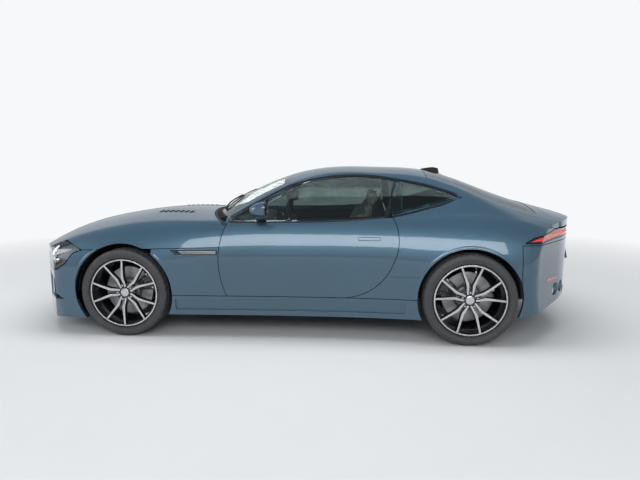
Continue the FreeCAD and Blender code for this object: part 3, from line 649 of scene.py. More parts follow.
def traced(points: Sequence[Flat], bows: dict[int, Flat] | None = None, count: int = 10) -> list[Flat]:
    """Outline whose chosen sides bow through a middle point.

    Args:
        points: Corners in order.
        bows: Middle point of a side, by the index of its first corner.
        count: Steps to a bowed side.

    Returns:
        The outline as straight steps.
    """
    done: list[Flat] = []
    for number, start in enumerate(points):
        done.append(tuple(start))
        if number in (bows or {}):
            first, last = Vector(start), Vector(points[(number + 1) % len(points)])
            pull = Vector(bows[number]) * 2 - (first + last) / 2
            for share in (step / count for step in range(1, count)):
                bend = first * (1 - share) ** 2 + pull * (2 * share * (1 - share)) + last * share ** 2
                done.append((bend.x, bend.y))
    return done


def grown(points: Sequence[Flat], distance: float) -> list[Flat]:
    """Outline moved outwards by a distance, or inwards by a negative one.

    Args:
        points: Corners in order.
        distance: How far out.

    Returns:
        The new outline.
    """
    count = len(points)
    turn = sum(points[i - 1][0] * points[i][1] - points[i][0] * points[i - 1][1] for i in range(count))
    hand = math.copysign(1.0, turn)
    done = []
    for number, point in enumerate(points):
        here = Vector(point)
        before = (here - Vector(points[number - 1])).normalized()
        after = (Vector(points[(number + 1) % count]) - here).normalized()
        normals = [Vector((side.y, -side.x)) * hand for side in (before, after)]
        moved = here + (normals[0] + normals[1]) * (distance / max(0.4, 1 + normals[0].dot(normals[1])))
        done.append((moved.x, moved.y))
    return done


def oval(half: Flat, power: float = 2.4, count: int = 32, centre: Flat = (0.0, 0.0)) -> list[Flat]:
    """Superellipse outline with the given half sizes.

    Args:
        half: Half width and half height.
        power: Squareness, 2 for an ellipse.
        count: Points of the outline.
        centre: Its middle.

    Returns:
        The outline.
    """
    done = []
    for turn in (math.tau * step / count for step in range(count)):
        u, v = math.cos(turn), math.sin(turn)
        done.append((centre[0] + math.copysign(abs(u) ** (2 / power), u) * half[0],
                     centre[1] + math.copysign(abs(v) ** (2 / power), v) * half[1]))
    return done


def sided(points: Sequence[Flat], look: Look, side: Side) -> list[Flat]:
    """Left-hand outline as it lies on one side of the car.

    Args:
        points: Outline for the left.
        look: Direction of sight.
        side: Side of the car.

    Returns:
        The outline for that side.
    """
    if look is Look.ABOVE:
        return [(u, v * side.value) for u, v in points]
    if look in (Look.FRONT, Look.REAR):
        return [(u * side.value, v) for u, v in points]
    return list(points)


class Skin:
    """Outer surface of some CAD nodes, on which flat outlines are laid."""

    def __init__(self, names: Sequence[str]) -> None:
        """Gather the surface.

        Args:
            names: CAD nodes that make the surface.
        """
        points: list[Vector] = []
        faces: list[list[int]] = []
        for name in names:
            mesh = FRAME["nodes"][name].data
            start = len(points)
            points += [vert.co.copy() for vert in mesh.vertices]
            faces += [[start + number for number in face.vertices] for face in mesh.polygons]
        self.tree = BVHTree.FromPolygons(points, faces)

    def point(self, flat: Flat, look: Look, lift: float) -> Vector:
        """Point of the surface under a place of an outline.

        Args:
            flat: Place in millimetres, in the look's two axes.
            look: Direction of sight.
            lift: Height above the surface, in millimetres.

        Returns:
            The point in metres.
        """
        ray, first, second = (Vector(axis) for axis in look.value)
        start = (first * flat[0] + second * flat[1]) * MM - ray * 4.0
        hit, normal, _, _ = self.tree.ray_cast(start, ray)
        if hit is None:
            hit, normal, _, _ = self.tree.find_nearest(start + ray * 3.2)
        if normal.dot(ray) > 0:
            normal = -normal
        return hit + normal * lift * MM

    def lay(self, maker: Maker, outline: Sequence[Flat], look: Look, lift: float,
            depth: float, cell: float = 25.0, index: int = 0) -> None:
        """Lay a closed plate on the surface.

        Args:
            maker: The bmesh that gets the plate.
            outline: Outline in millimetres.
            look: Direction of sight.
            lift: Height of the plate's face above the surface, in millimetres.
            depth: Thickness of the plate, in millimetres.
            cell: Largest length of a face.
            index: Material index of the plate.
        """
        flat = bmesh.new()
        flat.faces.new([flat.verts.new((u, v, 0)) for u, v in outline])
        for axis in (0, 1):
            values = [point[axis] for point in outline]
            for number in range(1, int((max(values) - min(values)) / cell) + 1):
                normal = Vector((1 - axis, axis, 0))
                bmesh.ops.bisect_plane(flat, geom=flat.verts[:] + flat.edges[:] + flat.faces[:],
                                       plane_co=normal * (min(values) + number * cell), plane_no=normal)
        bmesh.ops.triangulate(flat, faces=flat.faces[:])
        flat.verts.index_update()
        layers = [[maker.verts.new(self.point(vert.co.xy, look, height)) for vert in flat.verts]
                  for height in (lift, lift - depth)]
        for face in flat.faces:
            corners = [vert.index for vert in face.verts]
            maker.faces.new([layers[0][number] for number in corners]).material_index = index
            maker.faces.new([layers[1][number] for number in reversed(corners)]).material_index = index
        for edge in flat.edges:
            if edge.is_boundary:
                a, b = (vert.index for vert in edge.verts)
                wall = maker.faces.new((layers[0][a], layers[0][b], layers[1][b], layers[1][a]))
                wall.material_index = index
        flat.free()

    def line(self, route: Sequence[Flat], look: Look, lift: float, step: float = 20.0) -> list[Vector]:
        """Path of points on the surface along a flat route, in metres.

        Args:
            route: Corners of the route.
            look: Direction of sight.
            lift: Height above the surface.
            step: Largest distance between points.

        Returns:
            The points, in metres.
        """
        path = []
        for start, end in zip(route, route[1:]):
            start, end = Vector(start), Vector(end)
            count = max(1, round((end - start).length / step))
            path += [self.point(start.lerp(end, number / count), look, lift) for number in range(count)]
        return path + [self.point(route[-1], look, lift)]

    def band(self, maker: Maker, first: Sequence[Flat], second: Sequence[Flat], look: Look,
             lift: float, depth: float, closed: bool = True, cell: float = 25.0) -> None:
        """Lay a strip between two outlines of as many points.

        Args:
            maker: The bmesh that gets the strip.
            first: One edge of the strip, in millimetres.
            second: The other edge.
            look: Direction of sight.
            lift: Height of the strip's face above the surface.
            depth: Thickness of the strip.
            closed: Whether the strip closes on itself.
            cell: Largest length of a face.
        """
        pairs = [(Vector(a), Vector(b)) for a, b in zip(first, second)]
        if closed:
            pairs.append(pairs[0])
        edges: tuple[list[Vector], list[Vector]] = ([], [])
        for start, end in zip(pairs, pairs[1:]):
            count = max(1, math.ceil(max((end[0] - start[0]).length, (end[1] - start[1]).length) / cell))
            for edge, one, other in zip(edges, start, end):
                edge += [one.lerp(other, number / count) for number in range(count)]
        if not closed:
            for edge, last in zip(edges, pairs[-1]):
                edge.append(last)
        loops = [[self.point(place, look, height) for place in edge]
                 for edge, height in ((edges[0], lift - depth), (edges[0], lift), (edges[1], lift),
                                      (edges[1], lift - depth))]
        rings(maker, loops + loops[:1], closed=closed)

    def wall(self, maker: Maker, outline: Sequence[Flat], look: Look, top: float, bottom: float) -> None:
        """Stand a wall along an outline between two heights over the surface.

        Args:
            maker: The bmesh that gets the faces.
            outline: Outline in millimetres.
            look: Direction of sight.
            top: Upper height.
            bottom: Lower height.
        """
        loops = [[self.point(place, look, height) for place in outline] for height in (top, bottom)]
        rings(maker, loops)

    def seam(self, other: Skin, stations: Iterable[float], widths: Iterable[float],
             lift: float) -> list[Vector]:
        """Path where this surface, seen from above, meets another one.

        Args:
            other: The other surface.
            stations: Places along X, in millimetres.
            widths: Places along Y that are tried.
            lift: Height above this surface.

        Returns:
            One point for each station, in metres.
        """
        path = []
        widths = list(widths)
        for x in stations:
            tried = [self.point((x, y), Look.ABOVE, lift) for y in widths]
            path.append(min(tried, key=lambda point: other.tree.find_nearest(point)[3]))
        for _ in range(8):
            path = [path[0], *((a + b + c) / 3 for a, b, c in zip(path, path[1:], path[2:])), path[-1]]
        return path


class Sheet(Skin):
    """Smooth sheet over the outer faces of a slotted piece, seen from one direction."""

    def __init__(self, names: Sequence[str], look: Look, low: Flat, high: Flat, step: float = 6.0,
                 bridge: int = 7) -> None:
        """Sample the piece and close its slots.

        Args:
            names: CAD nodes that make the piece.
            look: Direction of sight.
            low: Least place of the area, in millimetres.
            high: Greatest place of the area.
            step: Distance between samples.
            bridge: Half width of the widest slot that is closed, in samples.
        """
        super().__init__(names)
        self.low, self.step = low, step
        ray, first, second = (Vector(axis) for axis in look.value)
        count = [int((b - a) / step) + 2 for a, b in zip(low, high)]
        field = np.full(count, -9.0)
        for i in range(count[0]):
            for j in range(count[1]):
                start = (first * (low[0] + i * step) + second * (low[1] + j * step)) * MM - ray * 4.0
                hit = self.tree.ray_cast(start, ray)[0]
                if hit is not None:
                    field[i, j] = -hit.dot(ray)
        for pick, edge in ((np.maximum, -9.0), (np.minimum, 9.0)):
            wide = np.pad(field, bridge, constant_values=edge)
            rows = pick.reduce([wide[k:k + count[0]] for k in range(2 * bridge + 1)])
            field = pick.reduce([rows[:, k:k + count[1]] for k in range(2 * bridge + 1)])
        for _ in range(max(count)):
            wide = np.pad(field, 1, mode="edge")
            around = np.maximum.reduce([wide[:-2, 1:-1], wide[2:, 1:-1], wide[1:-1, :-2], wide[1:-1, 2:]])
            field = np.where(field < -8, around, field)
        for _ in range(10):
            wide = np.pad(field, 1, mode="reflect", reflect_type="odd")
            field = (wide[:-2, 1:-1] + wide[2:, 1:-1] + wide[1:-1, :-2] + wide[1:-1, 2:]) / 4
        self.field = field

    def point(self, flat: Flat, look: Look, lift: float) -> Vector:
        """Point of the sheet under a place of an outline, lift millimetres above it.

        Args:
            flat: Place in millimetres, in the look's two axes.
            look: Direction of sight.
            lift: Height above the sheet.

        Returns:
            The point in metres.
        """
        ray, first, second = (Vector(axis) for axis in look.value)
        spots = [(value - low) / self.step for value, low in zip(flat, self.low)]
        (i, p), (j, q) = ((number, spot - number) for spot, number in (
            (spot, min(max(int(spot), 0), size - 2)) for spot, size in zip(spots, self.field.shape)))
        a, b, c, d = (float(self.field[i + m, j + n]) for m, n in ((0, 0), (1, 0), (0, 1), (1, 1)))
        depth = (a * (1 - p) + b * p) * (1 - q) + (c * (1 - p) + d * p) * q
        slopes = ((b - a) * (1 - q) + (d - c) * q, (c - a) * (1 - p) + (d - b) * p)
        normal = -ray - (first * slopes[0] + second * slopes[1]) / (self.step * MM)
        return (first * flat[0] + second * flat[1]) * MM - ray * depth + normal.normalized() * lift * MM


def dress(names: Iterable[str], finish: Finish) -> None:
    """Give CAD nodes a finish.

    Args:
        names: CAD nodes.
        finish: Their finish.
    """
    for name in names:
        for slot in FRAME["nodes"][name].material_slots:
            slot.material = finish.material()
    LOG.info("%s: %s", finish.name, ", ".join(names))


@dataclass
class Studio:
    """Pale floor, soft lamps and the camera at the photograph's angle, in metres and degrees."""

    camera_place: Place = (-0.4541, 4.5315, 1.3055)
    camera_yaw: float = 4.23
    camera_pitch: float = -8.33
    lens: float = 27.98
    floor_size: float = 60.0
    floor_shade: float = 0.55
    fade_from: float = 2.6
    fade_to: float = 7.0
    backdrop: Colour = (0.93, 0.94, 0.95)

    def camera(self) -> None:
        """Make the camera."""
        data = bpy.data.cameras.new("camera")
        data.sensor_width = 36.0
        data.lens = self.lens
        data.clip_end = 200.0
        camera = bpy.data.objects.new("camera", data)
        bpy.context.scene.collection.objects.link(camera)
        yaw, pitch = math.radians(self.camera_yaw), math.radians(self.camera_pitch)
        sight = Vector((math.sin(yaw) * math.cos(pitch), -math.cos(yaw) * math.cos(pitch), math.sin(pitch)))
        camera.location = self.camera_place
        camera.rotation_mode = "QUATERNION"
        camera.rotation_quaternion = sight.to_track_quat("-Z", "Y")
        bpy.context.scene.camera = camera

    def seen_white(self, graph: Graph, shader: Socket,
                   away: Socket) -> Socket:
        """Let a shader fade to the surroundings' white for sight, mirrored and straight.

        Args:
            graph: The material's graph.
            shader: Shader that light and shadow show on.
            away: Share of white, from 0 near the car to 1 far from it.

        Returns:
            The mixed shader.
        """
        white = graph.node("ShaderNodeEmission")
        white.inputs["Color"].default_value = (*self.backdrop, 1.0)
        path = graph.node("ShaderNodeLightPath")
        seen = path.outputs["Is Camera Ray"]
        for name in ("Is Glossy Ray", "Is Transmission Ray"):
            seen = graph.maths("MAXIMUM", seen, path.outputs[name])
        mix = graph.node("ShaderNodeMixShader")
        graph.link(graph.maths("MULTIPLY", seen, away), mix.inputs[0])
        graph.link(shader, mix.inputs[1])
        graph.link(white.outputs[0], mix.inputs[2])
        return mix.outputs[0]

    def floor(self) -> None:
        """Make the floor, which keeps the car's shadow."""
        maker = bmesh.new()
        bmesh.ops.create_grid(maker, x_segments=1, y_segments=1, size=self.floor_size / 2)
        mesh = bpy.data.meshes.new("floor")
        maker.to_mesh(mesh)
        maker.free()
        floor = bpy.data.objects.new("floor", mesh)
        bpy.context.scene.collection.objects.link(floor)
        graph = Graph("studio_floor")
        shade = (self.floor_shade,) * 3
        graph.shader.inputs["Roughness"].default_value = 0.85
        graph.link(graph.mixed(graph.noise(3.0), shade, tuple(channel * 0.97 for channel in shade)),
                   graph.shader.inputs["Base Color"])
        reach = graph.node("ShaderNodeVectorMath", operation="LENGTH")
        graph.link(graph.place, reach.inputs[0])
        away = graph.ranged(reach.outputs["Value"], 0.0, 1.0, self.fade_from, self.fade_to)
        shader = self.seen_white(graph, graph.shader.outputs[0], away)
        graph.link(shader, graph.nodes["Material Output"].inputs["Surface"])
        mesh.materials.append(graph.material)

    def world(self) -> None:
        """Pale surroundings, white to the camera and in reflections near the horizon."""
        world = bpy.data.worlds.new("studio")
        world.use_nodes = True
        tree = world.node_tree
        back = tree.nodes["Background"]
        place = tree.nodes.new("ShaderNodeTexCoord")
        split = tree.nodes.new("ShaderNodeSeparateXYZ")
        ramp = tree.nodes.new("ShaderNodeValToRGB")
        tree.links.new(place.outputs["Generated"], split.inputs[0])
        tree.links.new(split.outputs[2], ramp.inputs[0])
        stops = ((0.0, (0.22, 0.22, 0.23)), (0.05, (0.56, 0.59, 0.62)), (0.3, (0.44, 0.49, 0.54)),
                 (1.0, (0.24, 0.28, 0.33)))
        while len(ramp.color_ramp.elements) < len(stops):
            ramp.color_ramp.elements.new(0.5)
        for element, (position, shade) in zip(ramp.color_ramp.elements, stops):
            element.position = position
            element.color = (*shade, 1.0)
        tree.links.new(ramp.outputs[0], back.inputs["Color"])
        white = tree.nodes.new("ShaderNodeBackground")
        white.inputs["Color"].default_value = (*self.backdrop, 1.0)
        path = tree.nodes.new("ShaderNodeLightPath")
        mix = tree.nodes.new("ShaderNodeMixShader")
        tree.links.new(path.outputs["Is Camera Ray"], mix.inputs[0])
        tree.links.new(back.outputs[0], mix.inputs[1])
        tree.links.new(white.outputs[0], mix.inputs[2])
        tree.links.new(mix.outputs[0], tree.nodes["World Output"].inputs["Surface"])
        bpy.context.scene.world = world

    def lamp(self, name: str, place: Sequence[float], target: Sequence[float], size: Flat,
             power: float, mirrored: bool = True) -> None:
        """Add a soft rectangular lamp.

        Args:
            name: Name of the lamp.
            place: Its position.
            target: Point that it faces.
            size: Width and height.
            power: Power in watts.
            mirrored: Whether the lamp itself shows in glossy surfaces.
        """
        data = bpy.data.lights.new(name, "AREA")
        data.shape = "RECTANGLE"
        data.size, data.size_y = size
        data.energy = power
        lamp = bpy.data.objects.new(name, data)
        bpy.context.scene.collection.objects.link(lamp)
        lamp.location = place
        lamp.visible_glossy = mirrored
        lamp.rotation_mode = "QUATERNION"
        lamp.rotation_quaternion = (Vector(target) - Vector(place)).to_track_quat("-Z", "Y")

    def build(self) -> None:
        """Make floor, surroundings, lamps and camera."""
        self.floor()
        self.world()
        self.lamp("overhead", (0.0, 0.5, 5.2), (0, 0, 0), (7.0, 2.6), 300.0, mirrored=False)
        self.lamp("near_side", (-0.5, 6.5, 3.6), (0, 0, 0.6), (7.0, 2.2), 240.0)
        self.lamp("far_side", (0.5, -6.0, 3.4), (0, 0, 0.6), (6.0, 2.0), 160.0,
                  mirrored=False)
        self.lamp("nose_side", (6.5, 2.0, 2.6), (0, 0, 0.6), (3.0, 2.4), 90.0)
        self.camera()
        scene = bpy.context.scene
        scene.view_settings.view_transform = "Standard"
        LOG.info("studio ready")


@dataclass
class BodyPanels:
    """Painted panels, glass, underside and cabin solids that keep their CAD shape."""

    painted: tuple[str, ...] = ("bonnet", "front_bumper", "front_wings", "door_left", "door_right", "roof",
                                "quarter_panel_left", "quarter_panel_right", "tailgate", "rear_bumper",
                                "sills")
    glazed: tuple[str, ...] = ("door_glass_left", "door_glass_right", "quarter_glass", "tailgate_glass")

    def build(self) -> None:
        """Dress the nodes."""
        dress(self.painted, PAINT)
        dress(self.glazed, GLASS)
        dress(("windscreen",), SCREEN_GLASS)
        dress(("scuttle", "grille", "diffuser", "wheel_housings"), TRIM)
        dress(("floor_pan", "front_structure", "front_subframe", "rear_subframe"), UNDERSIDE)
        dress(("knuckle_left", "knuckle_right", "rear_uprights"), IRON)
        dress(("engine_block",), ALLOY)
        dress(("load_floor",), CARPET)
        dress(("dashboard", "steering_wheel"), DARK_HIDE)
        dress(("seat_left", "seat_right"), PALE_HIDE)
        dress(("exhausts",), STEEL)
        dress(("headlamps",), CHROME)
        dress(("tail_lamps",), GLOSS_BLACK)
        dress(("mirror_left", "mirror_right"), PAINT)


@dataclass
class EasedPanels:
    """Painted panels whose flats run softly into each other, while their form and edges stay, in metres."""

    names: tuple[str, ...] = ("bonnet", "front_bumper", "rear_bumper", "quarter_panel_left",
                              "quarter_panel_right", "tailgate")
    cell: float = 0.03
    keep_angle: float = 56.0
    reach: float = 0.13
    rounds: int = 36

    def fine(self, name: str) -> tuple[Maker, Any]:
        """Copy a node with short edges and its CAD normals as a layer of its corners.

        Args:
            name: CAD node.

        Returns:
            The copy and its layer.
        """
        source = FRAME["nodes"][name].data
        normals = np.zeros(len(source.loops) * 3, np.float32)
        source.corner_normals.foreach_get("vector", normals)
        maker = bmesh.new()
        maker.from_mesh(source)
        layer = maker.loops.layers.float_vector.new("cad_normal")
        corners = (loop for face in maker.faces for loop in face.loops)
        for loop, normal in zip(corners, normals.reshape(-1, 3)):
            loop[layer] = Vector(normal.tolist())
        bmesh.ops.remove_doubles(maker, verts=maker.verts, dist=1e-5)
        for _ in range(7):
            long = [edge for edge in maker.edges if edge.calc_length() > self.cell]
            if not long:
                break
            bmesh.ops.subdivide_edges(maker, edges=long, cuts=1)
            bmesh.ops.triangulate(maker, faces=maker.faces[:])
        maker.normal_update()
        return maker, layer

    def fans(self, maker: Maker) -> dict[tuple[int, int], int]:
        """Number the smooth fans round each vertex, by face and vertex index.

        Args:
            maker: The panel.

        Returns:
            Number of the fan by face and vertex.
        """
        for group in (maker.verts, maker.faces):
            group.index_update()
        limit = math.cos(math.radians(self.keep_angle))
        fans: dict[tuple[int, int], int] = {}
        number = 0
        for vert in maker.verts:
            for seed in vert.link_faces:
                if (seed.index, vert.index) in fans:
                    continue
                fans[seed.index, vert.index] = number
                waiting = [seed]
                while waiting:
                    face = waiting.pop()
                    for edge in face.edges:
                        if vert not in edge.verts:
                            continue
                        for other in edge.link_faces:
                            key = (other.index, vert.index)
                            if key not in fans and other.normal.dot(face.normal) > limit:
                                fans[key] = number
                                waiting.append(other)
                number += 1
        return fans

    def eased(self, normals: np.ndarray, group: np.ndarray, pairs: np.ndarray) -> np.ndarray:
        """Average normals near creases.

        Args:
            normals: CAD normal of each corner.
            group: Fan of each corner.
            pairs: Neighbouring fans.

        Returns:
            The new normal of each corner.
        """
        count = int(group.max()) + 1
        mean = np.zeros((count, 3))
        np.add.at(mean, group, normals)
        mean /= np.linalg.norm(mean, axis=1, keepdims=True) + 1e-12
        off = np.einsum("ij,ij->i", normals, mean[group])
        share = np.zeros(count)
        np.maximum.at(share, group, (off < math.cos(math.radians(2.0))).astype(float))
        for _ in range(int(self.reach / self.cell) + 1):
            spread = share.copy()
            np.maximum.at(spread, pairs[:, 0], share[pairs[:, 1]] - self.cell / self.reach)
            np.maximum.at(spread, pairs[:, 1], share[pairs[:, 0]] - self.cell / self.reach)
            share = spread
        weight = share[:, None]
        for _ in range(self.rounds):
            total = mean.copy()
            np.add.at(total, pairs[:, 0], mean[pairs[:, 1]])
            np.add.at(total, pairs[:, 1], mean[pairs[:, 0]])
            total /= np.linalg.norm(total, axis=1, keepdims=True) + 1e-12
            mean = mean * (1 - weight) + total * weight
            mean /= np.linalg.norm(mean, axis=1, keepdims=True) + 1e-12
        touched = (share[group] > 0)[:, None]
        return np.where(touched, mean[group], normals)

    def build(self) -> None:
        """Replace each panel by its eased copy."""
        for name in self.names:
            maker, layer = self.fine(name)
            fans = self.fans(maker)
            normals, group, pairs = [], [], set()
            for face in maker.faces:
                keys = [fans[face.index, loop.vert.index] for loop in face.loops]
                normals += [tuple(loop[layer]) for loop in face.loops]
                group += keys
                pairs |= {(min(a, b), max(a, b)) for a, b in zip(keys, keys[1:] + keys[:1])}
            given = np.array(normals, float)
            given /= np.linalg.norm(given, axis=1, keepdims=True) + 1e-12
            soft = self.eased(given, np.array(group), np.array(sorted(pairs)))
            mesh = bpy.data.meshes.new(name + "_eased")
            maker.to_mesh(mesh)
            maker.free()
            mesh.normals_split_custom_set(soft.tolist())
            mesh.materials.clear()
            mesh.materials.append(PAINT.material())
            mesh.polygons.foreach_set("material_index", [0] * len(mesh.polygons))
            piece = bpy.data.objects.new(name + "_eased", mesh)
            bpy.context.scene.collection.objects.link(piece)
            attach(piece, FRAME["nodes"][name]["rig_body"])
            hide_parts(name)
            LOG.info("%s eased: %d faces", name, len(mesh.polygons))


@dataclass
class Wheel:
    """Alloy wheel with five pairs of bright spokes, brake disc and tyre, in millimetres.

    Leg stations run from the hub to the rim: radius, offset from the pair's middle, half width, drop.
    """

    body: str
    node: str
    tyre_node: str
    side: Side
    phase: float
    pairs: int = 5
    flange: float = 272.0
    ring_radius: float = 259.0
    rim_inset: float = 7.0
    disc_radius: float = 188.0
    vanes: int = 36
    legs: tuple[tuple[float, float, float, float], ...] = (
        (40, 17, 7, 21), (62, 20, 8, 20), (104, 22, 10, 14), (120, 25, 11, 12), (150, 37, 9.5, 8.5),
        (200, 57, 8.5, 4.5), (256, 79, 7.5, 2.5))
    leg_depth: float = 30.0
    flare: float = 5.0
    lug_circle: float = 57.0

    def centre(self) -> Vector:
        """Wheel centre from its joint, in metres."""
        joint = next(joint for joint in FRAME["joints"] if joint["child"] == self.body)
        return Vector(joint["pos_m"])

    def half_width(self) -> float:
        """Half the tyre's width."""
        low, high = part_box(self.tyre_node)
        return (high.y - low.y) / 2 / MM

    def pose(self) -> Matrix:
        """Matrix from the wheel's own axes, outer side at +Y, to the car."""
        turn = Matrix.Rotation(math.pi if self.side is Side.RIGHT else 0.0, 4, "Z")
        return Matrix.Translation(self.centre()) @ turn

    def leg(self, maker: Maker, hand: int, turn: float, face: float) -> None:
        """Add one spoke leg: a machined face with black flanks.

        Args:
            maker: The bmesh that gets the leg.
            hand: 1 or -1, the side of the pair's middle line.
            turn: Angle of the pair, in radians.
            face: Y of the wheel's outer face.
        """
        stations = []
        for (r0, v0, w0, d0), (r1, v1, w1, d1) in zip(self.legs, self.legs[1:]):
            for share in (0.0, 0.5):
                stations.append([a + (b - a) * share for a, b in ((r0, r1), (v0, v1), (w0, w1), (d0, d1))])
        stations.append(list(self.legs[-1]))
        spin = Matrix.Rotation(turn, 3, "Y")
        loops = []
        for radius, offset, half, drop in stations:
            top = face - drop
            across = ((-half - self.flare, top - self.leg_depth), (-half - 0.8, top - 2.4),
                      (-half + 0.8, top), (half - 0.8, top), (half + 0.8, top - 2.4),
                      (half + self.flare, top - self.leg_depth))
            loops.append([spin @ mm(radius, y, (offset + v) * hand) for v, y in across])
        rows = [[maker.verts.new(point) for point in loop] for loop in loops]
        for first, second in zip(rows, rows[1:]):
            for place in range(5):
                quad = (first[place], first[place + 1], second[place + 1], second[place])
                maker.faces.new(quad).material_index = 1 if place == 2 else 0
            maker.faces.new((first[5], first[0], second[0], second[5])).material_index = 0
        maker.faces.new(rows[0]).material_index = 0
        maker.faces.new(rows[-1]).material_index = 0

    def rim(self) -> bpy.types.Object:
        """Build rim, spokes, hub, lug bolts and cap."""
        maker = bmesh.new()
        outer = self.half_width() - self.rim_inset
        face = outer - 4
        flange = self.flange
        ring = self.ring_radius
        lathe(maker, ((outer - 8, flange - 18), (outer - 8, flange), (outer - 2, flange), (outer, flange - 2),
                      (outer - 1, flange - 6), (face, ring + 5)), 128)
        lathe(maker, ((face, ring + 5), (face + 0.4, ring + 4), (face + 0.4, ring - 3.5), (face, ring - 4.5)),
              128, 1)
        lathe(maker, ((face, ring - 4.5), (face - 10, ring - 9), (face - 30, ring - 14),
                      (face - 60, ring - 24), (-outer + 30, ring - 26), (-outer + 10, ring - 14),
                      (-outer, flange - 4), (-outer, flange), (8 - outer, flange), (8 - outer, flange - 17),
                      (outer - 8, flange - 18)))
        hub = face - 21
        lathe(maker, ((hub - 34, 68), (hub - 8, 72), (hub - 4, 66), (hub - 5, 46), (hub, 42), (hub, 35),
                      (hub - 3, 33), (hub - 3, 0.01)), 64)
        lathe(maker, ((hub - 3, 32), (hub + 3, 31), (hub + 5.5, 26), (hub + 6, 14), (hub + 5.2, 0.01)), 48, 1)
        for pair in range(self.pairs):
            turn = -math.radians(self.phase) * self.side.value - math.tau * pair / self.pairs
            for hand in (1, -1):
                self.leg(maker, hand, turn, face)
            self.lug(maker, turn, hub - 6)
        piece = shown(placed(maker, self.pose()), self.node + "_alloy", (WHEEL_BLACK, MACHINED), self.body,
                      25)
        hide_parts(self.node)
        return piece

    def lug(self, maker: Maker, turn: float, base: float) -> None:
        """Add one bright six-sided bolt in its round pocket.

        Args:
            maker: The bmesh that gets the faces.
            turn: Angle of the bolt, in radians.
            base: Y of the pocket.
        """
        spin = Matrix.Rotation(turn, 3, "Y") @ mm(self.lug_circle, 0, 0)
        part = bmesh.new()
        lathe(part, ((base, 14), (base + 4, 13.5), (base + 4, 11), (base - 2, 11)), 24)
        lathe(part, ((base - 2, 8.6), (base + 8, 8.6), (base + 10.5, 6.5), (base + 10.5, 0.01)), 6, 1)
        merge(maker, part, Matrix.Translation(spin))

    def disc(self) -> bpy.types.Object:
        """Build the vented brake disc with its bell."""
        maker = bmesh.new()
        radius = self.disc_radius
        for outer, inner in ((10, 0), (-20, -10)):
            lip = outer - math.copysign(1, outer)
            lathe(maker, ((outer, radius - 3), (lip, radius), (inner, radius), (inner, 104), (outer, 104),
                          (outer, radius - 3)))
        lathe(maker, ((8, 105), (14, 100), (34, 88), (36, 80), (36, 40), (-34, 40), (-34, 86), (-20, 104)),
              64)
        for vane in range(self.vanes):
            spin = Matrix.Rotation(math.tau * vane / self.vanes, 4, "Y")
            for vert in bmesh.ops.create_cube(maker, size=1.0)["verts"]:
                vert.co = spin @ mm(146 + vert.co.x * 78, -5 + vert.co.y * 10, vert.co.z * 5)
        return shown(placed(maker, self.pose()), self.node + "_disc", (DISC,), self.body, 30)

    def tyre(self) -> bpy.types.Object:
        """Build the tyre with its rim guard, shoulder blocks and tread grooves."""
        maker = bmesh.new()
        low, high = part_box(self.tyre_node)
        half = self.half_width()
        radius = (high.z - low.z) / 2 / MM
        bead = half - self.rim_inset - 8.4
        wall = [(bead, self.flange - 17), (bead, self.flange + 1), (half - 7, self.flange + 3),
                (half - 2.2, self.flange + 7), (half - 2.6, self.flange + 12), (half - 4.6, self.flange + 14),
                (half - 2.4, self.flange + 22), (half, self.flange + 32), (half - 0.9, radius - 29),
                (half - 4.5, radius - 18), (half - 10, radius - 10)]
        shoulder = [(half - 16, radius - 5.5), (half - 26, radius - 2.4), (half - 38, radius - 1.0)]
        tread: list[Flat] = []
        for middle in (0.6 * half, 0.2 * half):
            tread += [(middle + 6, radius - 0.5), (middle + 4.5, radius - 7), (middle - 4.5, radius - 7),
                      (middle - 6, radius - 0.4)]
        rows = wall + shoulder + tread
        rows += [(-y, r) for y, r in reversed(rows)]
        steps = 288
        first_block = len(wall)
        blocks = range(first_block, first_block + 4)
        last = len(rows) - 1
        loops = []
        for number, (y, r) in enumerate(rows):
            loop = []
            for step in range(steps):
                cut = step % 6 == 0 and (number in blocks or last - number in blocks)
                reach = r - 4.5 if cut else r
                turn = math.tau * (step + (0.9 * (1 if y > 0 else -1) * abs(y) / half)) / steps
                loop.append(mm(reach * math.cos(turn), y, reach * math.sin(turn)))
            loops.append(loop)
        rings(maker, loops)
        piece = shown(placed(maker, self.pose()), self.tyre_node + "_rubber", (RUBBER,), self.body, 40)
        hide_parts(self.tyre_node)
        return piece

    def build(self) -> None:
        """Make the whole wheel."""
        self.rim()
        self.disc()
        self.tyre()
        LOG.info("%s built", self.node)


@dataclass(frozen=True)
class Plate:
    """Thin plate laid on the car's skin, drawn for the left-hand side, in millimetres."""

    name: str
    outline: tuple[Flat, ...]
    finish: Finish
    body: str
    look: Look = Look.LEFT
    lift: float = 0.8
    depth: float = 1.6
    corner: float = 8.0
    cell: float = 25.0
    sides: tuple[Side, ...] = (Side.LEFT, Side.RIGHT)

    def build(self, skin: Skin) -> None:
        """Lay the plate on one side or on both.

        Args:
            skin: Surface of the body.
        """
        for side in self.sides:
            look = Look.side(side) if self.look is Look.LEFT else self.look
            maker = bmesh.new()
            outline = sided(rounded(self.outline, self.corner), look, side)
            skin.lay(maker, outline, look, self.lift, self.depth, self.cell)
            name = self.name + ("_" + side.word if len(self.sides) > 1 else "")
            shown(maker, name, (self.finish,), self.body.format(side=side.word))


